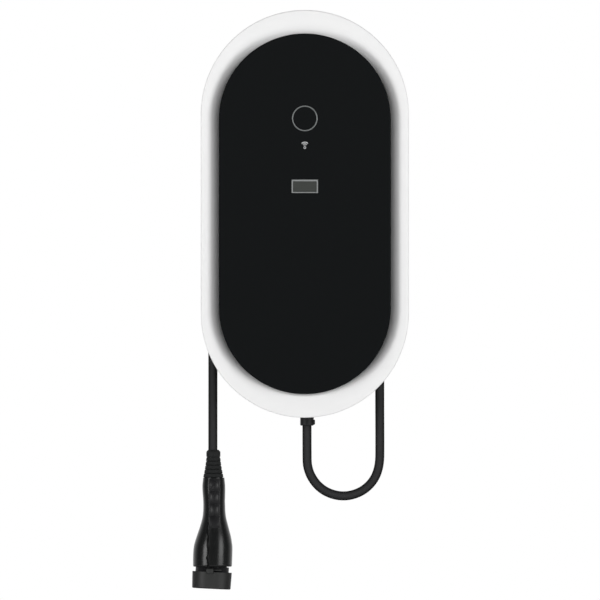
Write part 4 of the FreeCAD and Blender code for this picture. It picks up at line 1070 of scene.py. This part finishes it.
@dataclass
class Connector:
    """The connector's outer parts in millimetres, measured down from the top of its boot.

    Each of the handle's sections is a share of its length, a width, a thickness and a shift to the right.
    """

    across: float = -110.9
    depth: float = 25.75
    top: float = -284.1
    boot_length: float = 33.6
    handle_length: float = 107.4
    boot_shift: float = 0.6
    seam_shift: float = -6.1
    screw_shares: Pair = (0.2644, 0.73)
    sections: tuple[tuple[float, ...], ...] = (
        (0.0, 25.6, 24.0, 1.1), (0.1024, 27.6, 27.0, 1.1), (0.2886, 26.4, 29.0, 1.6),
        (0.4283, 27.9, 31.0, 1.7), (0.5493, 34.2, 36.0, 1.6), (0.6611, 41.4, 41.5, 1.1),
        (0.7588, 46.2, 45.0, 0.4), (0.8473, 47.4, 46.0, -0.1), (1.0, 47.0, 45.6, -0.5))
    collar: tuple[Pair, ...] = (
        (0.0, 12.4), (0.5, 13.6), (2.2, 16.6), (2.9, 17.0), (8.2, 17.0), (8.6, 15.6))
    rib_widths: tuple[float, ...] = (17.4, 18.6, 20.0, 21.8, 23.8)
    rib_start: float = 9.4
    rib_pitch: float = 4.9
    rib_form: tuple[Pair, ...] = ((0.0, -1.5), (0.3, -0.7), (3.6, 0.5), (4.2, -1.2))
    rib_crest: int = 2
    boot_foot: float = 22.0
    wave_depth: float = 0.35
    wave_lobes: int = 8
    screw_hole: float = 2.8
    handle_steps: int = 44
    pad_top: float = 0.9
    pad_pitch_share: float = 0.14
    pad_height: float = 15.0
    pad_shift: float = 1.9
    pad_half: float = 6.9
    pad_thickness: float = 1.5

    def ring(self, distance: float, width: float, thick: float, shift: float) -> Ring:
        """A cross section at a distance down the connector."""
        return Ring(self.across + shift, self.depth, self.top - distance, width, thick)

    def handle_ring(self, share: float) -> Ring:
        """The handle's cross section at a share of its length."""
        width, thick, shift = eased(self.sections, share)
        return self.ring(self.boot_length + share * self.handle_length, width, thick, shift)

    def handle_front(self, x: float, z: float) -> float:
        """Depth of the handle's front surface at a place, in millimetres."""
        share = (self.top - self.boot_length - z) / self.handle_length
        ring = self.handle_ring(min(1.0, max(0.0, share)))
        side = min(1.0, abs(x - ring.across) / (ring.width / 2))
        return ring.depth + ring.thick / 2 * math.sqrt(1 - side * side)

    def build(self) -> list[Piece]:
        """Make every outer part.

        Returns:
            The parts.
        """
        return [self.boot(), self.handle(), self.pads(), self.catch()]

    def boot(self) -> Piece:
        """Ribbed boot: a collar, then rings that widen, each with a wavy lower rim over a groove."""
        stations = list(self.collar)
        for index, width in enumerate(self.rib_widths):
            start = self.rib_start + index * self.rib_pitch
            stations += [(start + down, width + wider) for down, wider in self.rib_form]
        stations.append((self.boot_length, self.boot_foot))
        rings = [self.ring(down, width, width, self.boot_shift) for down, width in stations]
        boot = drawn("boot", 48, rings)
        self.wave(boot, rings[len(self.collar) + self.rib_crest:-1:len(self.rib_form)])
        return finished(smoothed(boot), Finish.BOOT_RUBBER, "grip_rubber", "root", "connector_boot")

    def wave(self, piece: Piece, crests: list[Ring]) -> None:
        """Pull every other lobe of the ribs' crests down, so that their rims wave.

        Args:
            piece: The drawn piece.
            crests: The cross sections to wave.
        """
        for vertex in piece.data.vertices:
            if any(abs(vertex.co.z - ring.up * MM) < 0.05 * MM for ring in crests):
                away = vertex.co - crests[0].centre
                vertex.co.z -= self.wave_depth * MM * math.cos(self.wave_lobes * math.atan2(away.y, away.x))

    def handle(self) -> Piece:
        """Both halves of the handle with the wavy seam on the front and the holes of its screws."""
        shares = [step / self.handle_steps for step in range(self.handle_steps)] + [0.986]
        rings = [self.handle_ring(share) for share in shares]
        low = self.handle_ring(1.0)
        for inset, rise in ((0.5, 0.45), (1.5, 0.12), (3.0, 0.0)):
            rings.append(Ring(low.across, low.depth, low.up + rise, low.width - inset, low.thick - inset))
        handle = drawn("handle", 64, rings)
        cut_with(handle, [self.seam_tool()] + [self.screw_tool(share) for share in self.screw_shares])
        return finished(smoothed(handle), Finish.CONNECTOR_SHELL, "connector_shell", "root",
                        "connector_left_half", "connector_right_half")

    def seam_tool(self) -> Piece:
        """A wavy strip that follows the front of the head, as wide as the gap between the halves."""
        deselect()
        bpy.ops.mesh.primitive_grid_add(x_subdivisions=1, y_subdivisions=28, size=1.0)
        strip = named(bpy.context.object, "seam")
        high = self.top - self.boot_length - 0.5 * self.handle_length
        low = self.top - self.boot_length - 1.02 * self.handle_length
        for vertex in strip.data.vertices:
            share = vertex.co.y + 0.5
            z = low + share * (high - low)
            middle = self.across + self.seam_shift
            middle += 0.7 * math.sin(share * 21.0) + 0.3 * math.sin(share * 47.0)
            width = 2.0 + 0.7 * math.sin(share * 33.0)
            x = middle + width * vertex.co.x
            depth = self.handle_front(middle, z)
            vertex.co = Vector((x, -(depth - 1.6), z)) * MM
        edit(strip)
        bpy.ops.mesh.extrude_region_move(TRANSFORM_OT_translate={"value": (0, -3 * MM, 0)})
        close_up()
        return strip

    def screw_tool(self, share: float) -> Piece:
        """A hole for a screw's head in the right side."""
        ring = self.handle_ring(share)
        deselect()
        bpy.ops.mesh.primitive_cylinder_add(
            vertices=32, radius=self.screw_hole * MM, depth=12 * MM, rotation=(0, math.pi / 2, 0),
            location=Vector((ring.across + ring.width / 2 + 3.8, -ring.depth, ring.up)) * MM)
        return settled(bpy.context.object)

    def catch(self) -> Piece:
        """The cap's catch: a rounded lug over its upper edge, with a thin bar beside it under the handle."""
        left = self.across - 8.0
        right = left + 9.0
        high = self.top - self.boot_length - self.handle_length - 1.8
        back = self.depth + 15
        lug = block("lug", (left, right), (back, back + 9.6), (high - 7.0, high))
        bar = block("bar", (right - 1.0, right + 9.5), (back, back + 5.5), (high - 3.2, high - 1.4))
        catch = joined("catch", [bevelled(lug, 1.4), bevelled(bar, 0.5)])
        return finished(smoothed(catch), Finish.CAP_RUBBER, "cap_rubber", "cap")

    def pads(self) -> Piece:
        """Four soft thumb pads, each thicker towards its lower end and hollowed for the thumb."""
        pads = smoothed(joined("pads", [self.pad(index) for index in range(4)]), 50.0)
        return finished(pads, Finish.GRIP_RUBBER, "grip_rubber", "root", "connector_grip_pads")

    def pad_rise(self, index: int, u: float, down: float) -> float:
        """How far a pad stands out at a place on it: a long swell across the thumb, with its own relief.

        Args:
            index: Which pad, counted from the boot.
            u: The place across, from -1 to 1.
            down: The place down, from 0 to 1.

        Returns:
            The height over the handle, in millimetres.
        """
        rise = 0.2 + (8.0 if index < 3 else 10.0) * down * (1 - down)
        if index == 0:
            rise -= 0.7 * math.exp(-((u + 0.35) / 0.16) ** 2 - ((down - 0.72) / 0.1) ** 2)
        elif index < 3:
            rise += 0.4 * down * math.exp(-(u / 0.25) ** 2)
        else:
            rise += 0.5 * math.exp(-((abs(u) - 0.62) / 0.22) ** 2 - ((down - 0.7) / 0.2) ** 2)
        return rise

    def pad(self, index: int) -> Piece:
        """One pad on the front of the grip, counted from the boot.

        Args:
            index: Which pad.

        Returns:
            The pad.
        """
        top = self.top - self.boot_length - self.pad_top - index * self.pad_pitch_share * self.handle_length
        deselect()
        bpy.ops.mesh.primitive_grid_add(x_subdivisions=20, y_subdivisions=22, size=2.0)
        pad = bpy.context.object
        for vertex in pad.data.vertices:
            u, v = vertex.co.x, vertex.co.y
            x = self.across + self.pad_shift + self.pad_half * u
            z = top - self.pad_height * (1 - v) / 2
            side = 1 - u ** 8
            rise = side * (0.3 + (1 - v ** 8) * self.pad_rise(index, u, (1 - v) / 2)) - 0.4 * (1 - side)
            vertex.co = Vector((x, -(self.handle_front(x, z) + rise), z)) * MM
        edit(pad)
        bpy.ops.mesh.extrude_region_move(TRANSFORM_OT_translate={"value": (0, self.pad_thickness * MM, 0)})
        close_up()
        return pad


CONNECTOR_NODES = (
    "connector_screws", "connector_insert", "power_contacts", "signal_contacts", "connector_cap")


def dress_nodes() -> None:
    """Give every CAD node the finish of its material slot, and the gland's screw the gland's own."""
    for entry in frame["record"]["subparts"]:
        node = frame["nodes"][entry["node"]]
        material = Finish[entry["material_slot"].upper()].material()
        node.data.materials.clear()
        node.data.materials.append(material)
    screw = frame["nodes"]["gland_screw"].data.materials
    screw.clear()
    screw.append(Finish.GLAND_PLASTIC.material())


def main() -> None:
    """Build the studio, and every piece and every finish."""
    bpy.context.scene.view_settings.view_transform = "Standard"
    Studio().build()
    dress_nodes()
    FrontShell().build()
    cable = Cable()
    line = cable.build()
    PanelFace().build()
    connector = Connector().build()
    cable.declare(connector + [frame["nodes"][name] for name in CONNECTOR_NODES])
    log.info("cable route has %d points", len(cable.route()))


if __name__ == "__main__":
    main()
